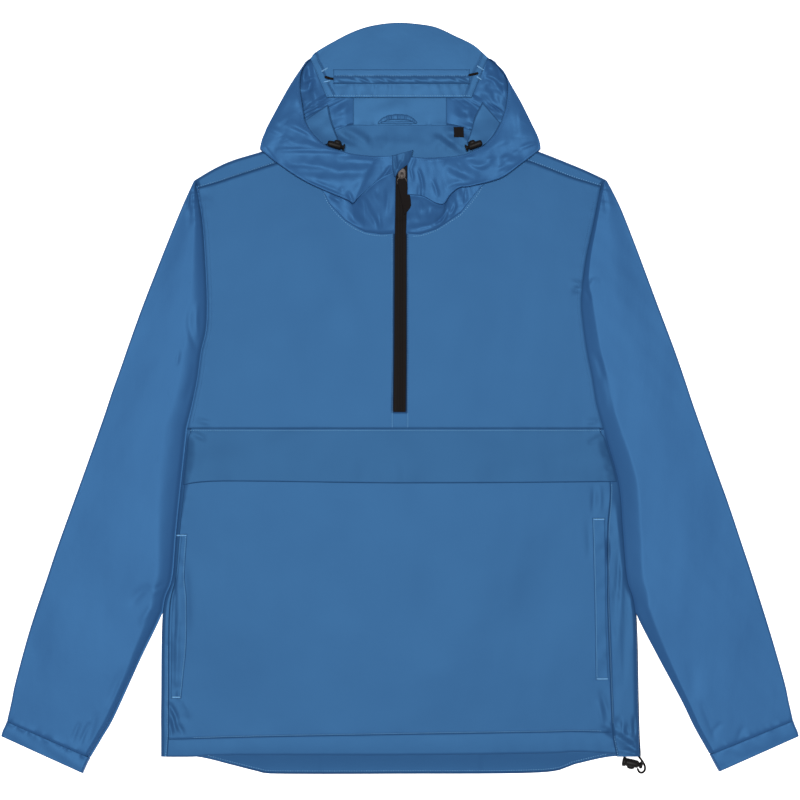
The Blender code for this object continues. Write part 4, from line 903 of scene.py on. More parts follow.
VALLEY = [
    # y of the inner side, width of its slope on the left and on the right
    (252, 7, 5), (200, 12, 6), (140, 18, 8), (110, 20, 15), (60, 20, 17), (0, 22, 19), (-35, 26, 20),
    (-100, 26, 22), (-180, 20, 22), (-252, 14, 17), (-310, 9, 11), (-360, 7, 7), (-430, 5, 5)]
VALLEY_FORM = {-1: (1.7, 0.28, 2.6), 1: (1.15, 0.12, 0.0)}  # bend, brink and flat, as tube_grid has them
LEFT_SLEEVE_CREASES = [
    # x0, y0, x1, y1, bow, width, height
    (-247.8, 253.1, -250.8, 224.8, 0.5, 1.8, -0.7), (-244.8, 253.1, -244.8, 227.1, 0.5, 1.7, -0.7),
    (-241.9, 248.4, -239.5, 227.1, 0.4, 1.6, -0.6), (-251.3, 238.9, -247.8, 201.2, 1, 3.5, -0.5),
    (-243.1, 116.2, -237.2, 54.9, -8, 3.6, -0.55), (-238.4, 110.3, -237.2, 71.4, -2, 2.6, 0.4),
    (-260.8, 57.2, -264.3, 38.4, 0.5, 2, -0.4), (-240.7, 43.1, -252.5, -4.1, 2, 4.5, -0.5),
    (-289.1, -224.8, -274.9, -218.9, 0.6, 1.6, -0.7), (-292.6, -230.7, -279.7, -224.8, 0.6, 2, 0.5),
    (-318.6, -244.8, -295.0, -220.1, 2, 5, -0.6), (-306.8, -267.3, -287.9, -241.3, 1.5, 4, 0.45),
    (-323.3, -344.0, -309.2, -302.7, 1.5, 4, 0.6), (-344.6, -362.8, -325.7, -318.0, 1.5, 5, -0.5),
    (-358.7, -369.9, -370.5, -407.7, 1, 4, -0.45), (-377.6, -408.9, -365.8, -381.7, 0.6, 2, -0.6),
    (-387.0, -405.3, -377.6, -381.7, 0.6, 2, -0.5), (-413.0, -332.2, -389.4, -237.8, 6, 16, 0.3),
]
RIGHT_SLEEVE_CREASES = [
    # x0, y0, x1, y1, bow, width, height
    (216.5, 132.8, 226.6, 141.0, 0.6, 2, -0.8), (217.1, 128.0, 224.2, 116.2, 0.6, 2.2, -0.7),
    (219.5, 135.1, 236.0, 138.7, 0.6, 2.6, 0.4), (239.5, 250.8, 243.1, 217.7, 0.5, 3, -0.4),
    (228.9, 54.9, 239.5, 21.8, 1.5, 4, -0.5), (240.7, 31.3, 250.2, -13.6, 1.5, 4, -0.35),
    (342.2, -308.6, 346.9, -355.8, 1, 8, -0.35), (368.2, -397.1, 380.0, -381.7, 0.6, 2, -0.45),
    (354.0, -355.8, 372.9, -405.3, 1, 4, -0.4), (397.7, -405.3, 405.9, -386.4, 0.6, 2, -0.4),
    (283.2, -237.8, 297.4, -285.0, 1.5, 5, -0.3),
]


def tube_grid(outer, inner, crown, soft_outer, soft_inner, edge_height, wrinkle, across, tuck, bend=1.45,
              brink=0.28, flat=0.0):
    """A flattened tube as one grid of rings, from its inner side under and over and back.

    tuck is 1 where the ring is open on its inner side, because it is sewn under the body's edge, and 0 where
    it is closed. Rings that are closed meet in the same point, so the mesh sews itself there. The inner side
    falls with the power bend to a flat strip, and brink is the share that falls in the last few millimetres.
    """
    width = np.linalg.norm(inner - outer, axis=1)[:, None]
    toward = (inner - outer) / width
    share = graded(across, 0.75)[None, :]
    far, near = share * width, (1 - share) * width
    stretch = width + 1.2 * tuck
    place = outer[:, None] + (share * stretch)[..., None] * toward[:, None]
    height = edge_height + (crown - edge_height) * (0.82 * rounded(far / soft_outer)
                                                    + 0.18 * eased(far / width, 0.0, 0.5))
    low = edge_height * (1 - tuck) + 3.5 * tuck
    slope, sharp = (1 - np.clip((near - flat) / reach, 0, 1) for reach in (soft_inner, 4.2))
    height -= (crown - low) * ((1 - brink) * slope ** bend + brink * sharp ** 2)
    level = rounded(far / 4.0) * rounded(near / (0.8 * soft_inner))
    height += wrinkle(place[..., 0], place[..., 1]) * level
    top = surface(place[..., 0], place[..., 1], height)
    share = graded(18, 0.9)[None, :]
    under_place = outer[:, None] + (share * (width + 2.7 * tuck))[..., None] * toward[:, None]
    under = 0.3 + (edge_height - 0.3) * (1 - rounded(share * width / 3.2))
    under += (edge_height - 0.3) * (1 - rounded((1 - share) * width / 3.2)) * (1 - tuck)
    low_side = surface(under_place[..., 0], under_place[..., 1], under)
    low_side[:, 0] = top[:, 0]
    closed = tuck[:, 0] == 0
    low_side[closed, -1] = top[closed, -1]
    return np.concatenate([low_side[:, ::-1], top[:, 1:]], axis=1)


def sleeve_lines(table, edge, side):
    """The outer and the inner fold of a sleeve as dense lines, and each point's place among the rows."""
    rows = [(ox, oy, float(edge(iy)) + side * SEAM if ix is None else ix, iy) for ox, oy, ix, iy in table]
    dense = spline(rows, SLEEVE_STEPS)
    number = np.arange(len(dense)) / SLEEVE_STEPS
    beside = (number >= 1) & (number <= LAST_BESIDE_BODY)
    gap = SEAM - 0.8 * eased(number, FIRST_CLOSED - 1, FIRST_CLOSED + 1)
    follow = edge(dense[:, 3]) + side * gap
    dense[:, 2] = np.where(beside, follow, dense[:, 2])
    return dense[:, :2], dense[:, 2:], number


def sleeve(name, table, edge, side, armhole, wrinkles, node, seed):
    """A sleeve: a flattened tube with its creases, its gathers and hidden rows at both ends."""
    outer, inner, number = sleeve_lines(table, edge, side)
    valley = along(columns(VALLEY, 0, 1 if side < 0 else 2), inner[:, 1])[:, None]
    tuck = 1 - eased(number, FIRST_CLOSED - 1.0, FIRST_CLOSED + 0.4)[:, None]
    crown = (8.4 - 1.4 * eased(number, FIRST_CLOSED, 17))[:, None]
    end = [tuple(outer[-1]), tuple(inner[-1])]

    def wrinkle(x, y):
        """Everything that disturbs the sleeve's top."""
        height = creases(x, y, wrinkles) + 0.22 * swell(x, y, 110, seed) + 0.03 * swell(x, y, 26, seed + 1)
        height += puckers(x, y, armhole[:9], 0.7, 3.4, 9.0, seed + 2)
        height += puckers(x, y, armhole[9:], 0.15, 5.0, 5.0, seed + 3)
        height += puckers(x, y, end, 0.5, 4.2, 3.6, seed + 4)
        return height - 0.2 * np.exp(-(near_path(x, y, end)[0] / 1.6) ** 2)

    # hidden rows: one tucked under the shoulder, two inside the cuff
    toward = (inner[-1] - outer[-1]) / np.linalg.norm(inner[-1] - outer[-1])
    down = np.array([toward[1], -toward[0]]) * -side
    under_shoulder, narrower = (-2.6 * side, 1.8), 1.6 * toward
    into_cuff = [far * down for far in (1.5, 5.0)]
    long_outer = np.concatenate([outer[:1] + under_shoulder, outer,
                                 [outer[-1] + narrower + step for step in into_cuff]])
    long_inner = np.concatenate([inner[:1] + under_shoulder, inner,
                                 [inner[-1] - narrower + step for step in into_cuff]])
    ends = np.concatenate([[0], np.arange(len(outer)), [-1, -1]])
    crown = crown[ends] - np.concatenate([[3.5], 0 * number, [0.9, 1.4]])[:, None]
    narrow = np.linalg.norm(long_inner - long_outer, axis=1)[:, None]
    grid = tube_grid(long_outer, long_inner, crown, np.minimum(SLEEVE_SOFT, narrow * 0.45),
                     np.minimum(valley[ends], narrow * 0.5), 3.0, wrinkle, 72, tuck[ends], *VALLEY_FORM[side])
    return sewn(name, [grid if side < 0 else grid[:, ::-1]], shell_sleeve_painted_light, [node])


sleeve_left = sleeve("sleeve_left_cloth", LEFT_SLEEVE, left_edge, -1, left_armhole, LEFT_SLEEVE_CREASES,
                     "sleeve_left", 71)
sleeve_right = sleeve("sleeve_right_cloth", RIGHT_SLEEVE, right_edge, 1, right_armhole, RIGHT_SLEEVE_CREASES,
                      "sleeve_right", 81)

# %% [markdown]
# ## Cuffs
#
# Each cuff is a doubled band with flat elastic in it, a finger's width deep. It is the same flattened tube,
# with corners that are slightly rounded and faint gathers along the seam that joins it to the sleeve.

# %% Cuffs
LEFT_CUFF = [
    # outer x, outer y, inner x, inner y
    (-464.3, -380.9, -365.4, -424.2), (-466.5, -386.5, -368.5, -430), (-469.5, -393, -371.5, -436.5),
    (-471, -398.5, -374, -442.5)]
RIGHT_CUFF = [
    # outer x, outer y, inner x, inner y
    (464.3, -379.9, 365.4, -420.2), (466.5, -386, 369, -427), (469.5, -393, 373, -434.5),
    (471, -398.5, 376.5, -440.5)]


def cuff(name, table, node, seed, side):
    """A cuff: a short tube that gathers along its seam with the sleeve."""
    dense = spline(table, 6)
    outer, inner = dense[:, :2], dense[:, 2:]
    start = [tuple(outer[0]), tuple(inner[0])]

    def wrinkle(x, y):
        """The band's slight bulge, and gathers beside the seam."""
        distance, arc = near_path(x, y, start)
        bulge = 0.16 * np.sin(math.pi * np.clip(distance / 18, 0, 1)) - 0.2 * np.exp(-(distance / 1.4) ** 2)
        gather = (0.75 if side < 0 else 0.25) * ripple(arc, 4.5, seed) * np.exp(-(distance / 3.6) ** 2)
        return bulge + gather + 0.14 * swell(x, y, 18, seed)

    tuck = np.zeros((len(dense), 1))
    grid = tube_grid(outer, inner, 7.0, 2.4, 2.4, 3.3, wrinkle, 70, tuck)
    made = sewn(name, [grid if side < 0 else grid[:, ::-1]], shell_sleeve_painted_light, [node], thickness=0.9)


cuff("cuff_left_cloth", LEFT_CUFF, "cuff_left", 91, -1)
cuff("cuff_right_cloth", RIGHT_CUFF, "cuff_right", 95, 1)
print("sleeves and cuffs made")

# %% [markdown]
# ## Hood sides
#
# Each side of the hood is one panel that starts at the face opening, rises over a crest, turns under at the
# outline and runs back below itself to the centre strip or, in front, down to the neck seam as the collar.
# Its sections are tabled round the opening from the brim to the zip. This is where the cloth is liveliest.
# Drag lines run from each shoulder to the top of the zip, where the weight of the hood pulls on it, and the
# front edge slumps over the collar and shades it.

# %% Hood sides
ON_FRONT = BODY_HEIGHT + SEAM
HOOD_COLUMNS = ("edge_x", "edge_y", "edge_z", "crest_z", "fold_x", "fold_y", "lip_z", "base_z", "tuck",
                "end_x", "end_y", "end_z")
LEFT_HOOD_TABLE_ROWS = [
    (-107.4, 400.0, 8.4, 8.6, -111.4, 396.8, 5.0, 0.7, 1.0, -104.5, 401.0, 5.8),
    (-116, 386, 12, 13.4, -127, 373, 6.5, 0.7, 1.0, -100.5, 385, 4.3),
    (-118, 367, 17, 17.8, -140, 350, 8.5, 0.7, 1.0, -94.6, 371, 4.8),
    (-115, 345, 19.6, 20.3, -156, 320, 10.0, 0.7, 1.0, -89.5, 359, 5.0),
    (-113.5, 336, 20.2, 20.9, -159, 313, 10.5, 0.7, 1.0, -89.0, 356.0, 3.5),
    (-112, 327, 20.6, 21.4, -162, 306, 11.0, 0.7, 1.0, -55.0, 357.5, 0.7),
    (-107, 318, 21, 21.9, -164, 299, 11.0, 0.7, 1.0, -55.0, 324.5, 0.7),
    (-101, 310, 21.3, 22.2, -165, 293.5, 11.0, 0.7, 1.0, -77, 316.5, 0.9)]
LEFT_HOOD_FRONT_ROWS = [
    (-101, 310, 21.3, 22.2, -165, 293.5, 11.0, 7.0, 1.0, -97, 294, 7.0),
    (-88, 298, 21.6, 22.4, -146, 278, 12.5, 7.0, 1.0, -95, 273, 7.0),
    (-66, 290, 21.5, 22.3, -118, 259, 13.0, 7.0, 1.0, -90, 249, 7.0),
    (-52, 287, 21, 22.0, -92, 246, 13.5, 7.2, 0.7, -84, 231, 7.0),
    (-38, 285.5, 20.6, 21.6, -62.5, 233.6, 14.5, 8.2, 0.4, -64, 210, 7.0),
    (-33, 285.2, 20.4, 21.4, -55.5, 229.8, 15.0, 9.0, 0.2, -55, 204.5, 7.0),
    (-29, 285, 20.2, 21.0, -51.0, 234.5, 16.0, 11.5, 0.1, -50, 201.5, 7.0),
    (-24, 285, 20, 20.0, -43, 242, 17.4, 16.6, 0.0, -41, 197, 7.0),
    (-14, 285, 19.6, 19.3, -26, 257, 18.2, 17.9, 0.0, -22, 194.2, 7.0),
    (-5.2, 285, 19.6, 18.8, -5.2, 268, 18.2, 18.0, 0.0, -6.2, 195, 7.0)]
RIGHT_HOOD_TABLE_ROWS = [
    (107.6, 400.0, 8.4, 8.6, 112.4, 396.8, 5.0, 0.7, 1.0, 103.0, 402, 5.8),
    (123, 384, 12, 13.4, 127, 375, 6.5, 0.7, 1.0, 98.0, 384, 4.3),
    (127, 367, 17, 17.8, 141, 351, 8.5, 0.7, 1.0, 92.6, 371, 4.8),
    (125, 345, 19.6, 20.3, 156, 321, 10.0, 0.7, 1.0, 87.6, 359, 5.0),
    (121.5, 333, 20.2, 20.9, 160, 313, 10.5, 0.7, 1.0, 87.0, 356.0, 3.5),
    (117.5, 322.5, 20.6, 21.4, 163, 306, 11.0, 0.7, 1.0, 55.0, 357.5, 0.7),
    (110, 309.5, 21, 21.9, 165, 299, 11.0, 0.7, 1.0, 55.0, 324.5, 0.7),
    (98.5, 297, 21.3, 22.2, 165.5, 293.5, 11.0, 0.7, 1.0, 79, 315.5, 0.9)]
RIGHT_HOOD_FRONT_ROWS = [
    (98.5, 297, 21.3, 22.2, 165.5, 293.5, 11.0, 7.0, 1.0, 99, 297, 7.0),
    (79, 288, 21.6, 22.4, 140, 274, 12.5, 7.0, 1.0, 98, 273, 7.0),
    (65, 285, 21.5, 22.3, 118, 259, 13.0, 7.0, 1.0, 94, 249, 7.0),
    (53, 284, 21, 22.0, 84, 250, 13.0, 7.2, 0.7, 72, 220, 7.0),
    (47, 283.5, 20.8, 21.8, 70, 248, 13.5, 8.0, 0.5, 65, 215, 7.0),
    (42, 283, 20.6, 21.4, 59, 239.5, 15.0, 10.5, 0.3, 58, 210, 7.0),
    (36, 283, 20.2, 20.8, 51.5, 229, 15.8, 13.6, 0.1, 51, 205.5, 7.0),
    (29, 283, 20, 20.2, 42, 230, 16.4, 15.6, 0.0, 42, 200, 7.0),
    (17, 284, 19.6, 19.4, 27, 238, 17.0, 16.8, 0.0, 23, 194.2, 7.0),
    (8.8, 285, 19.6, 18.8, 8.8, 240, 16.8, 16.7, 0.0, 7.4, 195, 7.0)]
OVER_THE_TOP = [(0.0, None), (0.2, 1.0), (0.5, 0.99), (0.8, 0.95), (0.955, 0.88), (0.993, 0.78)]
ROW_STEPS = 12
STATION_STEPS = 7
FOLD_STATION = len(OVER_THE_TOP)
TURN, TUCKED = 1.5, 7.0  # how far in the cloth is at the foot of its fold, and where it lies flat below
LEFT_TOP_CREASES = [
    # x0, y0, x1, y1, bow, width on the right, width on the left, height
    (-140.4, 299.7, -59, 287.9, 2.4, 2.2, 6, 1.17), (-146.3, 291.5, -56.6, 287.9, 2.2, 2.6, 3.2, 1.3),
    (-135.7, 274.9, -74.3, 269.6, 1.6, 2.8, 9, 1.49), (-125.1, 268.4, -21.2, 269.6, -2.5, 7, 7, 1.95),
    (-64.9, 280.2, -18.9, 276.1, 1.3, 1.5, 4, 0.65), (-10.6, 274.3, -27.1, 253.1, 1, 1.9, 1.9, -1.69),
    (-8.3, 269.6, -18.9, 250.8, 0, 2.2, 2.2, 1.17), (-27.1, 254.3, -24.8, 230.7, 0.6, 1.8, 1.8, -1.43),
    (-134.5, 323.3, -95.6, 303.8, 2.2, 2.6, 8, 1.49), (-139.2, 308, -125.1, 299.7, 0.4, 1.2, 3, 0.52),
    (-155.8, 329.8, -140.4, 321, 0.6, 2.5, 6, 0.65), (-156.9, 318, -138.1, 309.2, 0.6, 2.5, 6, 0.72),
    (-139.2, 355.8, -113.3, 349.9, 0, 7, 12, 1.17), (-162.8, 301.5, -142.8, 275.5, 0, 1.2, 1.2, -0.33),
    (-110.9, 308.6, -87.3, 295.6, 1, 1.4, 3, 0.59), (-67.3, 248.4, -69.6, 240.1, 0, 1.3, 1.3, -0.91),
    (-61.4, 243.7, -55.5, 229.5, 0, 2.2, 2.4, 1.17), (-118, 260.2, -63.7, 238.9, 0.6, 1.8, 3.5, 0.91),
    (-160.5, 342.8, -146.3, 338.1, 0, 3, 6, 0.52),
]
RIGHT_TOP_CREASES = [
    # x0, y0, x1, y1, bow, width on the right, width on the left, height
    (51.9, 276.7, 100.3, 254.9, -1.6, 5.5, 8, 1.8), (80.2, 277.9, 108.6, 280.2, -6.5, 2.6, 5, 1.15),
    (118, 276.1, 142.8, 280.2, -1.5, 7, 8, 2), (21.2, 270.8, 27.1, 243.7, 1.4, 1.9, 1.9, -1.3),
    (27.1, 246, 24.8, 211.8, -0.6, 1.9, 1.9, -1), (22.4, 250.8, 23, 218.9, 0, 1.7, 1.7, 0.8),
    (37.8, 257.8, 44.8, 236.6, 0.6, 2.4, 2.6, -0.9), (17.7, 283.8, 11.8, 269.6, 0.6, 1.6, 1.8, -0.8),
    (11.8, 272, 15.3, 255.5, 0.6, 1.6, 1.8, -0.8), (75.5, 282.6, 87.3, 284.4, 0, 1.5, 2, 0.45),
    (68.4, 276.7, 72, 266.1, 0, 1.5, 2, -0.5), (101.5, 279.7, 113.3, 282.6, 0, 1.5, 2.5, 0.5),
    (118, 279.7, 128.6, 286.1, 0, 1.6, 2.5, 0.6), (133.3, 286.7, 141.6, 292.1, 0, 1.6, 2.5, 0.6),
    (140.4, 292.6, 160.5, 300.3, 0.6, 1.6, 3, 0.8), (114.5, 267.9, 122.7, 273.2, 0, 1.6, 2.5, 0.6),
    (28.3, 279.7, 51.9, 281.4, 0.5, 1.2, 2, 0.4), (63.7, 251.9, 90.9, 253.7, 0.5, 2.8, 4, 0.7),
    (140.4, 349.9, 140.4, 307.4, 1, 6, 8, 1.2), (101.5, 291.5, 133.3, 305, 1, 3, 6, 0.5),
    (54.3, 248.4, 73.2, 255.5, 0.8, 2.2, 4, 0.5),
]
LEFT_COLLAR_CREASES = [
    # x0, y0, x1, y1, bow, width on the right, width on the left, height
    (-44.8, 238.9, -36.6, 220.1, 0.8, 2.6, 3, -1.2), (-37.8, 222.4, -26, 201.2, 0.6, 2.2, 2.6, -1.1),
    (-27.1, 246, -27.1, 236.6, 0, 2.4, 2.4, 0.8), (-25.4, 215.3, -23, 200, 0, 2.4, 2.4, 1.2),
    (-83.8, 238.9, -69.6, 231.9, 0, 1.6, 3, 0.9), (-15.3, 246, -16.5, 217.7, 0.8, 2.4, 2.8, -0.9),
    (-68.4, 229.5, -33, 200, -2.5, 5, 5, -1.2),
]
RIGHT_COLLAR_CREASES = [
    # x0, y0, x1, y1, bow, width on the right, width on the left, height
    (55.5, 227.1, 35.4, 204.1, 4.4, 2.2, 2.2, -2), (38.9, 204.7, 9.4, 198.8, 0.6, 2.2, 2.2, -1.8),
    (55.5, 220.1, 37.8, 202.4, 3.6, 1.8, 1.8, 1.5), (40.1, 201.8, 11.8, 197.1, 0.6, 1.8, 1.8, 1.3),
    (66.1, 230.7, 57.8, 214.2, 1.2, 1.7, 1.7, 1.2), (77.9, 248.4, 76.7, 228.3, 0, 1.4, 1.4, -0.9),
    (24.8, 217.7, 24.8, 234.2, 0, 1.8, 2, -0.8), (37.8, 227.1, 30.7, 205.9, -1, 3.5, 4, 0.8),
]
LEFT_INSIDE_CREASES = [
    # x0, y0, x1, y1, bow, width on the right, width on the left, height
    (-110.9, 397.1, -114.5, 364, -1.2, 2, 3, 1.6), (-105, 381.7, -108.6, 360.5, 1.2, 2.5, 2.5, -1.4),
    (-113.3, 372.3, -100.3, 379.4, 0.8, 2, 2.2, 1.1), (-102.7, 365.2, -96.8, 335.7, 0.6, 3, 3.2, 3.2),
    (-99.1, 369.9, -93.2, 346.3, 0.6, 1.8, 2.2, 1.5), (-95.6, 365.2, -89.1, 344, 0.4, 2, 2.2, -1.6),
    (-114.5, 353.4, -109.7, 331, 0.4, 2, 2.2, 1.3), (-82.6, 354, -79.1, 327.4, 0, 1.6, 1.7, 1.5),
    (-78.5, 348.7, -79.1, 322.7, 0, 1.8, 1.8, -1.2), (-55.5, 353.4, -75.5, 333.3, 0.8, 4.5, 5, 2.8),
    (-54.3, 343.4, -73.2, 325.1, 0.6, 2.5, 4, 1.6), (-57.8, 333.3, -70.8, 321.6, 0.4, 2, 3, 1),
]
RIGHT_INSIDE_CREASES = [
    # x0, y0, x1, y1, bow, width on the right, width on the left, height
    (118, 393.5, 123.9, 351, 2.4, 2, 3, 1.5), (102.7, 381.7, 122.7, 360.5, 4.5, 2, 5, 1.4),
    (103.8, 377, 92, 359.3, 0.6, 2, 3, 1), (118, 348.7, 107.4, 339.2, 0, 1.6, 1.8, 1.2),
    (102.7, 353.4, 119.2, 336.9, 0, 2, 2.4, -1), (59, 353.4, 77.9, 322.7, 1, 2.5, 3.5, 1.7),
    (66.1, 352.2, 85, 322.7, 1.6, 2.6, 4, 2.6), (74.3, 353.4, 88.5, 332.2, 1, 2.2, 3, 1.7),
    (53.1, 346.3, 66.1, 322.7, 1, 2.5, 3.5, 1.1), (82.6, 354, 93.2, 344, 0.4, 2, 2, 1),
]


def hood_section(row):
    """One section of a hood side, from the opening edge to the hidden end, along the middle of its cloth."""
    value = dict(zip(HOOD_COLUMNS, row))
    edge = np.array([value["edge_x"], value["edge_y"]])
    fold = np.array([value["fold_x"], value["fold_y"]])
    end = np.array([value["end_x"], value["end_y"]])
    lip, crest, base, tuck = value["lip_z"], value["crest_z"], value["base_z"], value["tuck"]
    points = []
    for share, rise in OVER_THE_TOP:
        height = value["edge_z"] if rise is None else lip + (crest - lip) * rise
        points.append([*(edge + (fold - edge) * share), height])
    points.append([*fold, base + (lip - base) * 0.55])
    inward = (edge - fold) / np.linalg.norm(edge - fold)
    onward = (end - fold) / np.linalg.norm(end - fold)
    low = fold + tuck * TURN * inward + (1 - tuck) * TURN * onward
    under = fold + tuck * TUCKED * inward + (1 - tuck) * TUCKED * onward
    points.append([*low, base + (lip - base) * 0.12])
    gone = (1 - tuck) * TUCKED / np.linalg.norm(end - fold)
    points.append([*under, base + (value["end_z"] - base) * (tuck * 0.05 + gone)])
    points.append([*(under + (end - under) * 0.5), base + (value["end_z"] - base) * (0.5 + gone / 2)])
    points.append([*end, value["end_z"]])
    return points


def hood_grid(rows, floor, top_creases, low_creases, low_height, seed):
    """Sections through the table's rows, creased on the layer that shows outside and on the one within."""
    sections = np.array([spline(hood_section(row), STATION_STEPS) for row in rows])
    middle = spline(sections, ROW_STEPS)
    station = np.arange(middle.shape[1]) / STATION_STEPS
    straight = np.arange(len(middle)) / ROW_STEPS
    plain = np.stack([np.stack([np.interp(straight, np.arange(len(rows)), sections[:, k, axis])
                                for k in range(middle.shape[1])], axis=-1) for axis in range(3)], axis=-1)
    weight = np.clip((station - FOLD_STATION - 1) / 2, 0, 1)[None, :, None]
    middle = middle * (1 - weight) + plain * weight
    x, y = middle[..., 0], middle[..., 1]
    upper = (1 - eased(station, FOLD_STATION - 1.0, FOLD_STATION - 0.1)) * eased(station, -0.6, 0.4)
    lower = eased(station, FOLD_STATION + 0.8, FOLD_STATION + 2.2) * (1 - eased(station, station[-1] - 0.5,
                                                                                station[-1]))
    middle[..., 2] += upper * (creases(x, y, top_creases) + 0.3 * swell(x, y, 34, seed)
                               + 0.08 * swell(x, y, 12, seed + 1))
    middle[..., 2] += lower * low_height * (creases(x, y, low_creases) + 0.3 * swell(x, y, 14, seed + 2))
    below = station > FOLD_STATION + 0.1
    middle[:, below, 2] = np.maximum(middle[:, below, 2], floor + 0.3)
    onward = (middle[:, -1] - middle[:, -4]) * (1.0, 1.0, 0.0)
    onward /= np.linalg.norm(onward, axis=1)[:, None]
    # two hidden rows past the end: how far on and how far down each lies
    ends = ((0.5, 1.3), (2.5, 2.6)) if floor else ((2.0, 0.5), (5.0, 0.6))
    hidden = np.stack([middle[:, -1] + onward * far - (0.0, 0.0, fall) for far, fall in ends], axis=1)
    hidden[..., 2] = np.maximum(hidden[..., 2], 0.3)
    return np.concatenate([middle, hidden], axis=1)


def closed_end(section):
    """Rows that draw a section in towards its hidden end, so that the tunnel of cloth is shut at the brim."""
    return section[-3] + (section - section[-3]) * np.array([0.05, 0.5])[:, None, None]


def hood_side(name, table_rows, front_rows, side, tables, node, seed):
    """One side of the hood, in two grids that are sewn together along the section at the shoulder."""
    top_creases, collar_creases, inside_creases = tables
    behind = hood_grid(table_rows, 0.0, top_creases, inside_creases, 2.3, seed)
    before = hood_grid(front_rows, ON_FRONT, top_creases, collar_creases, 1.0, seed)
    shared = (FOLD_STATION - 1) * STATION_STEPS + 1
    before[0, :shared] = behind[-1, :shared]
    before = rolled(before, "bottom", 0.6)
    grids = [np.concatenate([closed_end(behind[0]), behind]), before]
    if side > 0:
        grids = [g[:, ::-1] for g in grids]
    return sewn(name, grids, shell_hood_painted_light, [node], thickness=0.6, offset=0.0), behind, before


hood_left, left_behind, left_before = hood_side(
    "hood_side_left_cloth", LEFT_HOOD_TABLE_ROWS, LEFT_HOOD_FRONT_ROWS, -1,
    (LEFT_TOP_CREASES, LEFT_COLLAR_CREASES, LEFT_INSIDE_CREASES), "hood_side_left", 101)
hood_right, right_behind, right_before = hood_side(
    "hood_side_right_cloth", RIGHT_HOOD_TABLE_ROWS, RIGHT_HOOD_FRONT_ROWS, 1,
    (RIGHT_TOP_CREASES, RIGHT_COLLAR_CREASES, RIGHT_INSIDE_CREASES), "hood_side_right", 111)
print("hood sides", len(hood_left.data.polygons) + len(hood_right.data.polygons), "cells")

# %% [markdown]
# ## Brim, centre strip, casing and facings
#
# The hood lies open, so the brim shows its inside: a smooth crescent with a casing sewn across it for the
# elastic that narrows the hood. Under it the crown lies folded away, layers that share one soft pad. The
# centre strip comes out below the brim's hem and runs to the neck seam. Two facings turn in at the opening.

# %% Brim, centre, casing and facings
BRIM_EDGE = [(-106, 401), (-99, 409), (-77, 422), (-55, 433), (-33, 440), (-5, 443.5), (21, 442), (43, 438),
             (65, 428), (87, 417), (104, 402)]
BRIM_HEM_Y = 355.0
BRIM_HEM = (-86.5, 84.5)
BRIM_LOW = 5.2
BRIM_HIGH = 6.4
BRIM_REACH = (118.0, 88.5)
BRIM_CLOTH = 1.5
CASING_X = (-78.5, 82.0)
CASING_Y = (371.0, 388.0)
NECK_SEAM_Y = 323.5
STRIP_HALF = 55.5
FELLED = 9.0  # width of the felled seam down each side of the brim
BRIM_SIDES = [[(-106, 401), (-86.5, 355)], [(104, 402), (84.5, 355)]]


def brim_under(x, y):
    """Height of the brim's underside: a low dome, highest at the middle of its hem."""
    outward = np.hypot(x / BRIM_REACH[0], (y - BRIM_HEM_Y) / BRIM_REACH[1])
    return BRIM_HIGH + (BRIM_LOW - BRIM_HIGH) * np.clip(outward, 0, 1) ** 3


def brim_top(x, y):
    """Height of the brim as it shows."""
    felled = sum(1 - eased(near_path(x, y, line)[0], FELLED - 0.8, FELLED) for line in BRIM_SIDES)
    return (brim_under(x, y) + BRIM_CLOTH + 0.14 * swell(x, y, 60, 121) + 0.6 * felled
            + puckers(x, y, [(-90, 357.5), (88, 357.5)], 0.3, 6.0, 5.0, 122)
            + puckers(x, y, [(-80, 369), (83, 369)], 0.35, 4.0, 5.0, 123))


def brim_grid(inset, count_up, hem_inset, hem_rise=0.0):
    """A fan over the brim, from its outline (top row) down to its hem (last row)."""
    edge = spline(BRIM_EDGE, 9)
    middle = np.array([0.0, BRIM_HEM_Y])
    edge = edge + (middle - edge) / np.linalg.norm(middle - edge, axis=1)[:, None] * inset
    share = np.linspace(0, 1, len(edge))
    bottom = np.stack([BRIM_HEM[0] + hem_inset + (BRIM_HEM[1] - BRIM_HEM[0] - 2 * hem_inset) * share,
                       np.full(len(edge), BRIM_HEM_Y + hem_rise)], axis=-1)
    rise = graded(count_up, 0.5)[::-1][:, None, None]
    return bottom + (edge - bottom) * rise


ALL_ROUND = "top bottom left right"
plan = brim_grid(0.0, 44, 0.0)
brim = rolled(surface(plan[..., 0], plan[..., 1], brim_top(plan[..., 0], plan[..., 1])), ALL_ROUND, 0.4)
brim = sewn("hood_brim_cloth", [brim], shell_inside, ["hood_brim"])


def casing_top(x, y):
    """The casing: flat above its stitch line, puffed and puckered below, where the elastic runs in it."""
    v = (CASING_Y[1] - y) / (CASING_Y[1] - CASING_Y[0])
    tunnel = np.sin(math.pi * np.clip((v - 0.44) / 0.56, 0, 1)) ** 0.8
    height = brim_under(x, y) + 2 * BRIM_CLOTH + 0.2 + tunnel * (0.9 + 0.35 * ripple(x, 17, 132))
    height += 0.45 * tunnel * ripple(x + 1.5 * y, 6.5, 133)
    height += 0.35 * ripple(x + 0.6 * y, 5.0, 131) * np.exp(-((v - 0.55) / 0.13) ** 2)
    return height - 0.3 * np.exp(-((v - 0.44) / 0.03) ** 2)


x = np.linspace(*CASING_X, 110)[None, :]
y = np.linspace(CASING_Y[1], CASING_Y[0], 18)[:, None]
casing = rolled(surface(x, y, casing_top(x, y)), ALL_ROUND, 0.5)
casing = sewn("cord_casing_cloth", [casing], shell_inside, ["cord_casing"])

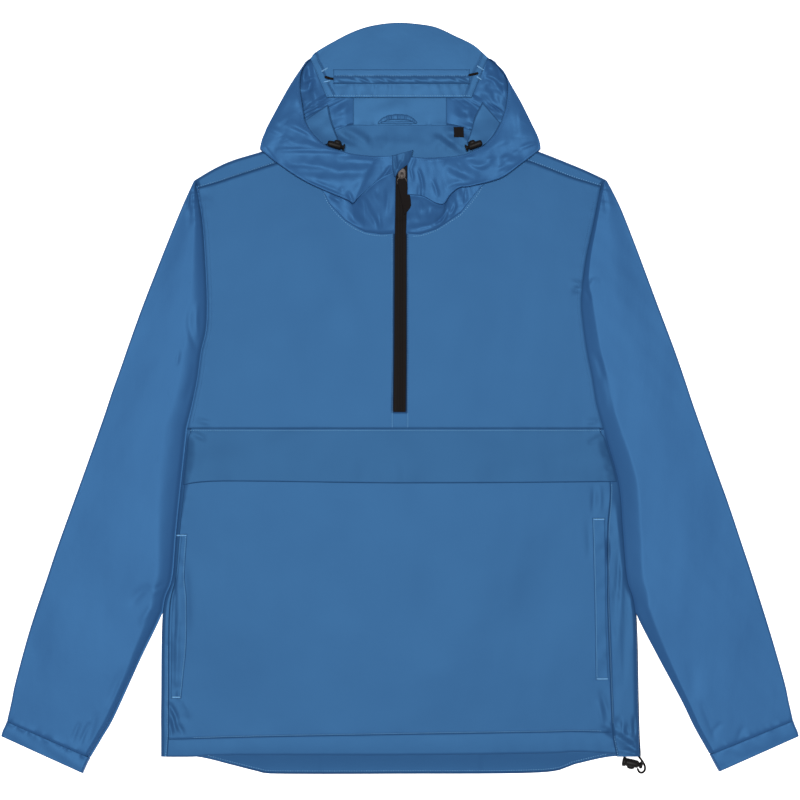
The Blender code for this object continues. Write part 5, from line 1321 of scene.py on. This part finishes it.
plan = brim_grid(7.0, 16, 3.0, 0.8)
pad_top = surface(plan[..., 0], plan[..., 1], brim_under(plan[..., 0], plan[..., 1]) - 0.6)
outline = pad_top[0]
outward = (outline - (0.0, BRIM_HEM_Y, 0.0)) * (1, 1, 0)
outward /= np.linalg.norm(outward, axis=1)[:, None]
layer_lips = [(0.9, 0.82), (1.1, 0.62), (0.2, 0.5), (1.0, 0.36), (0.9, 0.2), (-0.5, 0.08)]
lips = np.array([(outline + outward * out) * (1, 1, share) for out, share in layer_lips])
pad_low = pad_top * (1, 1, 0) + (0, 0, 0.1)
pad = np.concatenate([pad_low[::-1], lips[::-1], pad_top])
strip_levels = np.linspace(BRIM_HEM_Y + 3, NECK_SEAM_Y - 0.8, 26)
x, y = np.meshgrid(np.linspace(-STRIP_HALF, STRIP_HALF, 60), strip_levels)
neck_gathers = puckers(x, y, [(-54, NECK_SEAM_Y), (54, NECK_SEAM_Y)], 0.3, 4.0, 4.0, 142)
strip = surface(x, y, 1.7 + 0.15 * swell(x, y, 30, 141) + neck_gathers)
strip = rolled(strip, "bottom left right", 0.5)
centre = sewn("hood_centre_cloth", [pad, strip], shell_inside, ["hood_centre"], thickness=0.3)


def facing(name, rows, node, side, seed):
    """A facing turned in along the face opening, from rows of its outer and its inner point."""
    table = spline(rows, 10)
    t = np.linspace(0, 1, 16)[None, :, None]
    grid = table[:, None, :3] * (1 - t) + table[:, None, 3:] * t
    grid[..., 2] -= 0.8 * t[..., 0] * (1 - t[..., 0])
    grid[..., 2] += 0.16 * swell(grid[..., 0], grid[..., 1], 22, seed)
    return sewn(name, [grid if side < 0 else grid[:, ::-1]], shell_inside, [node], thickness=0.5,
                offset=0.0)


facing_left = facing("facing_left_cloth", [
    # outer x, y and z, then inner x, y and z
    (-112.5, 326.5, 19.4, -85, 346, 18.2), (-107.5, 317.5, 20.0, -81, 327, 18.4),
    (-100.5, 309, 20.4, -77, 315, 18.6), (-89, 298, 20.4, -73, 304, 18.8)], "facing_left", -1, 151)
facing_right = facing("facing_right_cloth", [
    (118.5, 323.5, 19.6, 97, 349, 17.5), (111, 310.5, 20.0, 88, 331, 17.6), (104, 302.5, 20.3, 84, 316, 17.8),
    (96.5, 297, 20.4, 79, 301, 18.0)], "facing_right", 1, 152)
print("brim, centre, casing and facings made")

# %% [markdown]
# ## Tools for trims
#
# Trims are small and hard, so they are made as closed grids: a profile turned round an axis, a tube along a
# line, or a tube whose section is flat. A pole is a row of equal points, which `sewn` joins into one.

# %% Turned profiles and tubes
def turned(profile, steps=32):
    """A profile of (place along X, radius) turned round the X axis."""
    angle = np.linspace(0, 2 * math.pi, steps + 1)[None, :]
    place, radius = np.asarray(profile, float)[:, :1], np.asarray(profile, float)[:, 1:]
    return surface(place, radius * np.cos(angle), -radius * np.sin(angle))


def tube(path, half_width, half_height, steps=16, closed=False, power=1.0):
    """A tube along a line. Below 1, the power makes its section squarer. Its ends are rounded off."""
    path = np.asarray(path, float)
    if closed:
        along_it = np.roll(path, -1, axis=0) - np.roll(path, 1, axis=0)
    else:
        along_it = np.gradient(path, axis=0)
    along_it /= np.linalg.norm(along_it, axis=1)[:, None]
    aside = np.cross((0.0, 0.0, 1.0), along_it)
    aside /= np.linalg.norm(aside, axis=1)[:, None]
    up = np.cross(along_it, aside)
    wide = np.broadcast_to(half_width, len(path)).astype(float)
    high = np.broadcast_to(half_height, len(path)).astype(float)
    if closed:
        path, aside, up = (np.concatenate([part, part[:1]]) for part in (path, aside, up))
        wide, high = np.append(wide, wide[0]), np.append(high, high[0])
    else:
        # rings that round an end off: share of its size, and how far out each lies
        caps = ((0.0, 1.0), (0.55, 0.75), (0.9, 0.35))
        path = np.concatenate([[path[0] - along_it[0] * out * high[0] for _, out in caps], path,
                               [path[-1] + along_it[-1] * out * high[-1] for _, out in caps[::-1]]])
        grown = np.array([size for size, _ in caps])
        wide = np.concatenate([wide[0] * grown, wide, wide[-1] * grown[::-1]])
        high = np.concatenate([high[0] * grown, high, high[-1] * grown[::-1]])
        aside, up = (np.concatenate([part[:1]] * 3 + [part] + [part[-1:]] * 3) for part in (aside, up))
    angle = np.linspace(0, 2 * math.pi, steps + 1)[None, :, None]
    across = np.sign(np.cos(angle)) * np.abs(np.cos(angle)) ** power
    lift = np.sign(np.sin(angle)) * np.abs(np.sin(angle)) ** power
    sideways = aside[:, None] * wide[:, None, None] * across
    grid = path[:, None] + sideways - up[:, None] * high[:, None, None] * lift
    grid[:, -1] = grid[:, 0]
    return grid


def set_down(grid, x, y, z, turn, tilt=0.0, mirror=1.0):
    """Moves a grid from its own frame to a place: tipped round Y, then turned round Z, in degrees."""
    turn, tilt = math.radians(turn), math.radians(tilt)
    tip = np.array([[math.cos(tilt), 0, math.sin(tilt)], [0, 1, 0], [-math.sin(tilt), 0, math.cos(tilt)]])
    spin = np.array([[math.cos(turn), -math.sin(turn), 0], [math.sin(turn), math.cos(turn), 0], [0, 0, 1]])
    placed = grid * (1, mirror, 1) @ (spin @ tip).T + (x, y, z)
    return placed if mirror > 0 else placed[:, ::-1]


# %% [markdown]
# ## Cord locks, cord and elastic
#
# The locks are barrels with a spool-like flange and a thumb button on the side. Two sit at the face opening
# and one at the hem, where its cord leaves as a short loop. Elastic shows for a centimetre at each end of the
# casing, before it goes in.

# %% Cord locks, cord and elastic
LOCK_PROFILE = [
    # place along the barrel, radius
    (-10.5, 0), (-10.5, 1.6), (-10.3, 2.6), (-9.7, 3.2), (-8.6, 3.55), (-6, 3.8), (-1, 3.95), (4.2, 4.0),
    (5.4, 3.8), (5.9, 3.3), (6.1, 2.2), (7.5, 1.9), (7.9, 2.6), (8.1, 3.7), (8.5, 4.1), (9.3, 4.15),
    (9.8, 3.8), (9.9, 3.0), (9.6, 2.2), (9.3, 1.2), (9.3, 0)]
HEM_LOCK_PROFILE = [
    # place along the barrel, radius
    (-11.4, 0), (-11.4, 2.2), (-11.1, 3.4), (-10.3, 3.9), (-8.8, 3.9), (-8.2, 3.2), (-7.7, 2.4), (-7.0, 2.6),
    (-6.4, 3.6), (-5, 4.1), (0, 4.3), (5.6, 4.3), (6.6, 4.1), (7.0, 4.5), (7.6, 5.0), (9.6, 5.1),
    (10.4, 4.7), (10.8, 3.6), (10.8, 0)]


def cord_lock(name, node, place, mirror=1.0, profile=LOCK_PROFILE, size=1.0):
    """A barrel lock with its thumb button. Place is x, y and z, then its turn and its tilt in degrees."""
    button = np.linspace(-1, 1, 15)
    bulk = np.sqrt(np.maximum(1 - button ** 2, 0)) ** 0.7
    hump = turned(np.stack([button, bulk], axis=-1)) * (4.4, 3.3, 2.7) + (0.9, 3.4, 0.0)
    grids = [set_down(grid * size, *place, mirror=mirror) for grid in (turned(profile), hump)]
    return sewn(name, grids, black_plastic, [node], thickness=0)


cord_lock("hood_lock_left_body", "hood_lock_left", (-75.0, 297.6, 20.0, -15, 6))
cord_lock("hood_lock_right_body", "hood_lock_right", (86.6, 297.6, 20.2, 199, 6), -1.0)
cord_lock("hem_lock_body", "hem_lock", (274.0, -430.4, 5.9, 168), profile=HEM_LOCK_PROFILE, size=1.1)
loop = spline([(279.5, -419.5, 3.0), (283.0, -424.0, 3.0), (287.0, -429.6, 3.0), (289.2, -434.5, 3.0),
               (289.0, -439.0, 3.0), (286.0, -441.8, 3.0), (282.6, -441.0, 3.0), (280.6, -437.5, 3.2)], 8)
sewn("hem_cord_loop", [tube(loop, 1.3, 1.3)], black_tape, ["hem_cord"], thickness=0)
for name, ends in (("hood_elastic_left", [(-88.0, 379.0), (-83.0, 377.6), (-77.0, 376.4)]),
                   ("hood_elastic_right", [(81.0, 381.2), (86.0, 382.2), (91.5, 383.4)])):
    line = spline(ends, 8)
    line = surface(line[:, 0], line[:, 1], brim_top(line[:, 0], line[:, 1]) + 1.0)
    sewn(name + "_cord", [tube(line, 1.5, 1.1)], black_tape, [name], thickness=0)
print("locks, cord and elastic made")

# %% [markdown]
# ## Zip
#
# The chain is a coil hidden behind the tape, so from outside it is two soft ribs with a groove between them.
# The slider is parked at the top, half under the garage that keeps it off the chin. Its pull is a wide wire
# ring with a strap folded through it, and it turns on the slider's bridge.

# %% Zip
TAPE_TOP = [(-40, 4.5), (-30, 4.5), (60, 4.5), (140, 4.5), (200, 4.5), (217, 8.2), (240, 11.4), (262, 14.4),
            (285, 17.1)]
TAPE_HALF = 9.3
HINGE_Y, HINGE_Z = 260.48, 18.43  # where the pull turns
PULL_SLOPE = 0.134  # how much the pull rises for each millimetre towards the hood
SLIDER_X = 2.2  # the slider sits a little off the middle

x = np.linspace(-TAPE_HALF, TAPE_HALF, 49)[None, :]
y = np.concatenate([np.linspace(284, 196, 45), np.linspace(190, -24, 40)])[:, None]
groove = np.exp(-(x / 0.35) ** 2)
z = along(TAPE_TOP, y) + 0.45 * (1 - eased(np.abs(x), 2.6, 3.8)) - 0.5 * groove
tape = sewn("zip_tape_cloth", [surface(x, y, z)], zip_chain, ["zip_tape"], thickness=0.8)


def rises(path):
    """Puts a plan line, given from the hinge, on the slope of the pull."""
    path = np.asarray(path, float)
    return surface(SLIDER_X + path[:, 0], HINGE_Y + path[:, 1], HINGE_Z + PULL_SLOPE * path[:, 1])


def slab(outline, low, high, rise=0.5):
    """A slab over a plan outline, drawn in a little at its top and bottom so that its edges are round."""
    outline = np.concatenate([outline, outline[:1]])
    middle = outline[:-1].mean(axis=0)
    rows = []
    for share, height in ((0.0, low), (0.86, low), (0.97, low + rise * 0.4), (1.0, low + rise),
                          (1.0, high - rise), (0.95, high - rise * 0.3), (0.84, high), (0.0, high)):
        plan = middle + (outline - middle) * share
        rows.append(surface(plan[:, 0], plan[:, 1], height + PULL_SLOPE * (plan[:, 1] - HINGE_Y)))
    return np.array(rows)[::-1]


body = spline([(-3.2, -2.2), (-4.3, 0.2), (-4.7, 3.5), (-4.2, 8.0), (-2.2, 10.2), (0.0, 10.6), (2.2, 10.2),
               (4.2, 8.0), (4.7, 3.5), (4.3, 0.2), (3.2, -2.2), (0.0, -2.8), (-3.2, -2.2)], 5)[:-1]
body = body + (SLIDER_X, HINGE_Y)
bridge = rises([(0, 5.2), (0, 4.0), (0, 2.4), (0, 0), (0, -2.0), (0, -3.4)])
bridge[:, 2] += (-1.9, 0.2, 1.5, 1.8, 0.9, -1.9)
sewn("zip_slider_body", [slab(body, 14.5, 16.5), tube(spline(bridge, 4), 1.7, 0.55, power=0.7)],
     slider_metal, ["zip_slider"], thickness=0)
ring = rises(spline([(0, 0), (2.6, -0.7), (4.6, -2.4), (5.3, -5.0), (4.9, -7.6), (2.8, -9.2), (0, -9.6),
                     (-2.8, -9.2), (-4.9, -7.6), (-5.3, -5.0), (-4.6, -2.4), (-2.6, -0.7), (0, 0)], 6)[:-1])
sewn("zip_pull_ring", [tube(ring, 0.75, 0.7, closed=True)], slider_metal, ["zip_pull"],
     thickness=0, body="pull_tab")
STRAP = [
    # distance from the hinge, left x, right x
    (-3.2, -3.6, 6.6), (-9.0, -2.6, 8.8), (-12.0, -1.8, 9.2), (-20.5, 0.2, 11.4), (-27.0, 1.6, 12.6),
    (-31.5, 2.4, 13.0), (-34.5, 2.8, 12.4), (-39.5, 3.6, 9.0), (-43.0, 4.4, 6.6)]
rows = spline(STRAP, 6)
line = rises(np.stack([0.5 * (rows[:, 1] + rows[:, 2]) - SLIDER_X, rows[:, 0]], axis=-1))
line[:, 2] += 1.7 * np.sin(math.pi * np.clip(-rows[:, 0] / 44.0, 0, 1))
sewn("zip_strap_tab", [tube(line, 0.5 * (rows[:, 2] - rows[:, 1]), 1.05, 28, power=0.45)], black_tape,
     ["zip_strap"], thickness=0, body="pull_tab")

GARAGE = [
    # y on the left, left x, y on the right, right x
    (260.6, -6.4, 260.8, -4.9), (263.5, -7.4, 266.7, -1.2), (268, -8.6, 271.8, 4.7), (273, -9.4, 276.1, 9.6),
    (278, -9.4, 282.6, 12.9), (282, -9.2, 288.0, 14.2), (285.6, -9.0, 292.2, 15.2)]
rows = spline(GARAGE, 6)
t = np.linspace(0, 1, 26)[None, :]
x = rows[:, 1:2] + (rows[:, 3:4] - rows[:, 1:2]) * t
y = rows[:, 0:1] + (rows[:, 2:3] - rows[:, 0:1]) * t
z = 20.6 + 0.9 * np.sin(math.pi * np.clip(t * 1.15, 0, 1)) + 0.03 * (y - 275) - 1.0 * eased(t, 0.75, 1.0)
z = z + creases(x, y, [(-5.5, 287, -4.7, 269, 0.4, 1.1, 1.4, -0.9), (1.0, 280, -2.6, 270, 0.3, 1.2, 2.0, 0.7),
                       (6.0, 289, 2.0, 275, 0.3, 1.8, 3.0, 0.4), (12.0, 290, 8.5, 277, 0.4, 1.4, 2.2, 0.5)])
garage = rolled(surface(x, y, z)[::-1], "bottom left right top", 0.6)
garage = sewn("zip_garage_cloth", [garage], shell, ["zip_garage"], thickness=0.5)
print("zip made")

# %% [markdown]
# ## Hanger loop and label
#
# A band of the same cloth arches over a straight tape at the neck. Both are folded double and puckered by the
# bar tacks at their ends. A plain black tab is caught in the seam beside them.

# %% Hanger loop and label
BAND_STEP, TAPE_STEP = 0.5, 0.6
LABEL_LEFT, LABEL_WIDTH = 63.4, 11.8
LABEL_TOP, LABEL_END = 320.6, 308.4

loop = resample(spline([(-25.5, 325.0), (-21.5, 328.0), (-15.5, 331.0), (-9, 332.1), (-3, 332.4), (3, 332.3),
                        (9, 331.5), (14, 329.3), (19.5, 325.4)], 8), BAND_STEP)
arc = np.arange(len(loop)) * BAND_STEP
fullness = np.sin(math.pi * np.linspace(0.0, 1.0, len(loop))) ** 0.6
line = surface(loop[:, 0], loop[:, 1], 3.2 + 0.55 * ripple(arc, 2.6, 161) * fullness)
half_width = 1.0 + (2.3 + 0.3 * ripple(arc, 2.7, 162)) * fullness
band = sewn("hanger_band", [tube(line, half_width, 0.75, 20, power=0.7)], shell_inside, ["hanger_loop"],
            thickness=0)
loop = resample(spline([(-22.5, 326.0), (-12, 325.7), (0, 325.7), (9, 325.8), (17.5, 326.0)], 6), TAPE_STEP)
arc = np.arange(len(loop)) * TAPE_STEP
line = surface(loop[:, 0], loop[:, 1], 2.7 + 0.12 * ripple(arc, 6.0, 163))
half_width = 1.4 + 0.1 * ripple(arc, 4.0, 164)
hanger_tape = sewn("hanger_tape", [tube(line, half_width, 0.6, 16, power=0.7)], shell_inside,
                   thickness=0)

y = np.linspace(LABEL_TOP, LABEL_END, 22)[:, None]
x = LABEL_LEFT + 0.03 * (LABEL_TOP - y) + np.linspace(0, 1, 22)[None, :] * LABEL_WIDTH
z = 3.1 + 0.35 * ((y - 314) / 6) ** 2 + 0.15 * ripple(y + x, 6, 165)
tab = sewn("neck_label_tab", [rolled(surface(x, y, z), ALL_ROUND, 0.35)], black_tape, ["neck_label"],
           thickness=0.3)
print("hanger and label made")

# %% [markdown]
# ## Stitches
#
# Every seam is topstitched at nearly nine stitches to the inch, with a thread a little lighter than the
# cloth. At the armholes and round the hood its colour is close to the cloth's. Each stitch is a spindle of
# fourteen points, half sunk in the cloth and laid along the slope. Bar tacks are the same spindles, laid
# crosswise and packed.

# %% A spindle and lines of stitches
STITCH = (2.9, 1.25, 1.0)  # pitch, length and width
TACK = (0.55, 1.9, 0.6)
ring_share = np.array([(place, size * math.cos(turn), size * math.sin(turn))
                       for place, size in ((-0.32, 0.8), (0.0, 1.0), (0.32, 0.8))
                       for turn in (0, math.pi / 2, math.pi, 3 * math.pi / 2)])
SPINDLE = np.concatenate([[(-0.5, 0, 0)], ring_share, [(0.5, 0, 0)]]) * (1.0, 0.5, 0.5)
SPINDLE_FACES = ([(0, 1 + (k + 1) % 4, 1 + k) for k in range(4)]
                 + [(1 + 4 * r + k, 1 + 4 * r + (k + 1) % 4, 5 + 4 * r + (k + 1) % 4, 5 + 4 * r + k)
                    for r in range(2) for k in range(4)]
                 + [(13, 9 + k, 9 + (k + 1) % 4) for k in range(4)])


def stitched(name, lines, measure=STITCH, across=0.0, finish=thread):
    """One mesh of spindles along lines of points. Across turns each one from its line, in degrees."""
    pitch, length, width = measure
    evened = [resample(line, pitch) for line in lines]
    centre = np.concatenate([(e[1:] + e[:-1]) / 2 for e in evened])
    onward = np.concatenate([e[1:] - e[:-1] for e in evened])
    onward /= np.linalg.norm(onward, axis=1)[:, None]
    aside = np.cross((0.0, 0.0, 1.0), onward)
    aside /= np.linalg.norm(aside, axis=1)[:, None]
    up = np.cross(onward, aside)
    turn = math.radians(across)
    onward, aside = (onward * math.cos(turn) + aside * math.sin(turn),
                     aside * math.cos(turn) - onward * math.sin(turn))
    sizes = np.random.default_rng(len(centre)).uniform(0.9, 1.1, (len(centre), 1, 1))
    points = centre[:, None] + sizes * (SPINDLE[None, :, :1] * length * onward[:, None]
                                        + SPINDLE[None, :, 1:2] * width * aside[:, None]
                                        + SPINDLE[None, :, 2:] * width * up[:, None])
    first = (np.arange(len(centre)) * len(SPINDLE)).tolist()
    mesh = bpy.data.meshes.new(name)
    mesh.from_pydata((points.reshape(-1, 3) * MM).tolist(), [],
                     [tuple(begin + corner for corner in face) for begin in first for face in SPINDLE_FACES])
    mesh.shade_smooth()
    mesh.materials.append(finish)
    made = link(name, mesh)
    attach(made, "garment")
    return made


def beside(line, distance):
    """A plan line moved to its left by a distance."""
    line = np.asarray(line, float)[:, :2]
    onward = np.gradient(line, axis=0)
    onward /= np.linalg.norm(onward, axis=1)[:, None]
    return line + np.stack([-onward[:, 1], onward[:, 0]], axis=-1) * distance


def on(height, line, lift=0.18):
    """A plan line laid on a surface that is given as a function of x and y."""
    line = resample(np.asarray(line, float)[:, :2], 1.5)
    return surface(line[:, 0], line[:, 1], height(line[:, 0], line[:, 1]) + lift)


def inside_edge(grid, distance, rows):
    """A line on a grid at a distance from its first column, along the rows that are asked for."""
    lines = []
    for row in grid[rows]:
        place = np.concatenate([[0.0], np.cumsum(np.linalg.norm(np.diff(row, axis=0), axis=1))])
        lines.append([np.interp(distance, place, row[:, axis]) for axis in range(3)])
    return np.array(lines) + (0, 0, 0.35)


# %% Lines of stitches on the body
up_left, up_right = left_armhole[3:-1], right_armhole[3:-1]
ridge = seam - inward * 2.2
seams = [on(front_top, ridge[:half_count]), on(front_top, ridge[half_count:]),
         on(lambda x, y: flap_top(x, y, 0.05), [(-248, ARMPIT_Y - 2.7), (238, ARMPIT_Y - 2.7)]),
         on(front_top, [(-9.2, 196), (-9.2, -34)]), on(front_top, [(9.2, 196), (9.2, -34)]),
         on(front_top, hem_seam[5:-6] + (0, 1.4)),
         on(front_top, beside(spline(NECK_LEFT, 6), -2.0)[4:-3]),
         on(front_top, beside(spline(NECK_RIGHT, 6), 2.0)[4:-3]),
         on(front_top, right_side_seam[(seam_levels < -100)] + (1.6, 0)),
         on(front_top, left_side_seam[(seam_levels < -290)] - (1.6, 0))]
tail_x = np.linspace(-236, 244, 160)
seams.append(on(back_inside, np.stack([tail_x, along(BACK_HEM, tail_x) + 3.6], axis=-1)))
for rows, column, shift in ((LEFT_WELT, 2, -1.5), (RIGHT_WELT, 1, 1.5)):
    levels = np.linspace(rows[0][0], rows[-1][0], 60)
    seams.append(on(lambda x, y: front_top(x, y) + 0.9,
                    np.stack([along(columns(rows, 0, column), levels) + shift, levels], axis=-1)))
stitches_body = stitched("stitches_body", seams)
stitches_armholes = stitched("stitches_armholes", [on(front_top, up_left + (4.6, 0)),
                                                   on(front_top, up_right - (4.6, 0))], finish=thread_tonal)

# %% Lines of stitches on the hood, and bar tacks
past_brim, to_zip = slice(10, None), slice(1, 96)  # the rows of the hood's grids that are stitched
edge_lines = [inside_edge(left_behind, 3.4, past_brim), inside_edge(right_behind, 3.4, past_brim),
              inside_edge(left_before, 3.0, to_zip), inside_edge(right_before, 3.0, to_zip),
              on(casing_top, [(-76, 386.6), (80, 386.6)]),
              on(brim_top, [(-104.0, 399.5), (-84.4, 356)], 0.5),
              on(brim_top, [(-97.6, 402.5), (-77.5, 358)], 0.5),
              on(brim_top, [(102.0, 400.5), (82.4, 356)], 0.5),
              on(brim_top, [(95.6, 403.5), (75.8, 358)], 0.5)]
stitches_hood = stitched("stitches_hood", edge_lines, finish=thread_tonal)
stitches_brim = stitched("stitches_brim", [on(brim_top, [(-84, 357.2), (83, 357.2)], 0.4),
                                           on(casing_top, [(-76, 380.4), (80, 380.4)])])


def on_welt(x, y):
    """Height of the welts where their bar tacks lie."""
    return front_top(x, y) + 1.1


WELT_TACKS = [
    # both ends of each
    [(-263.5, -161.5), (-252.0, -161.5)], [(-269.0, -352.5), (-259.5, -352.5)],
    [(228.5, -142.5), (241.0, -142.5)], [(232.5, -330.8), (245.0, -330.8)]]
BRIM_TACKS = [
    # both ends of each
    [(-92.5, 385.5), (-85.5, 389.8)], [(-90.0, 373.2), (-82.6, 374.8)],
    [(91.0, 392.2), (98.5, 387.4)], [(90.5, 379.6), (95.8, 375.9)]]
tacks = [on(on_welt, ends) for ends in WELT_TACKS] + [on(brim_top, ends, 1.1) for ends in BRIM_TACKS]
bar_tacks = stitched("bar_tacks", tacks, TACK, 78.0)
all_stitches = (stitches_body, stitches_armholes, stitches_hood, stitches_brim, bar_tacks)
print("stitches", sum(len(made.data.vertices) for made in all_stitches) // len(SPINDLE))
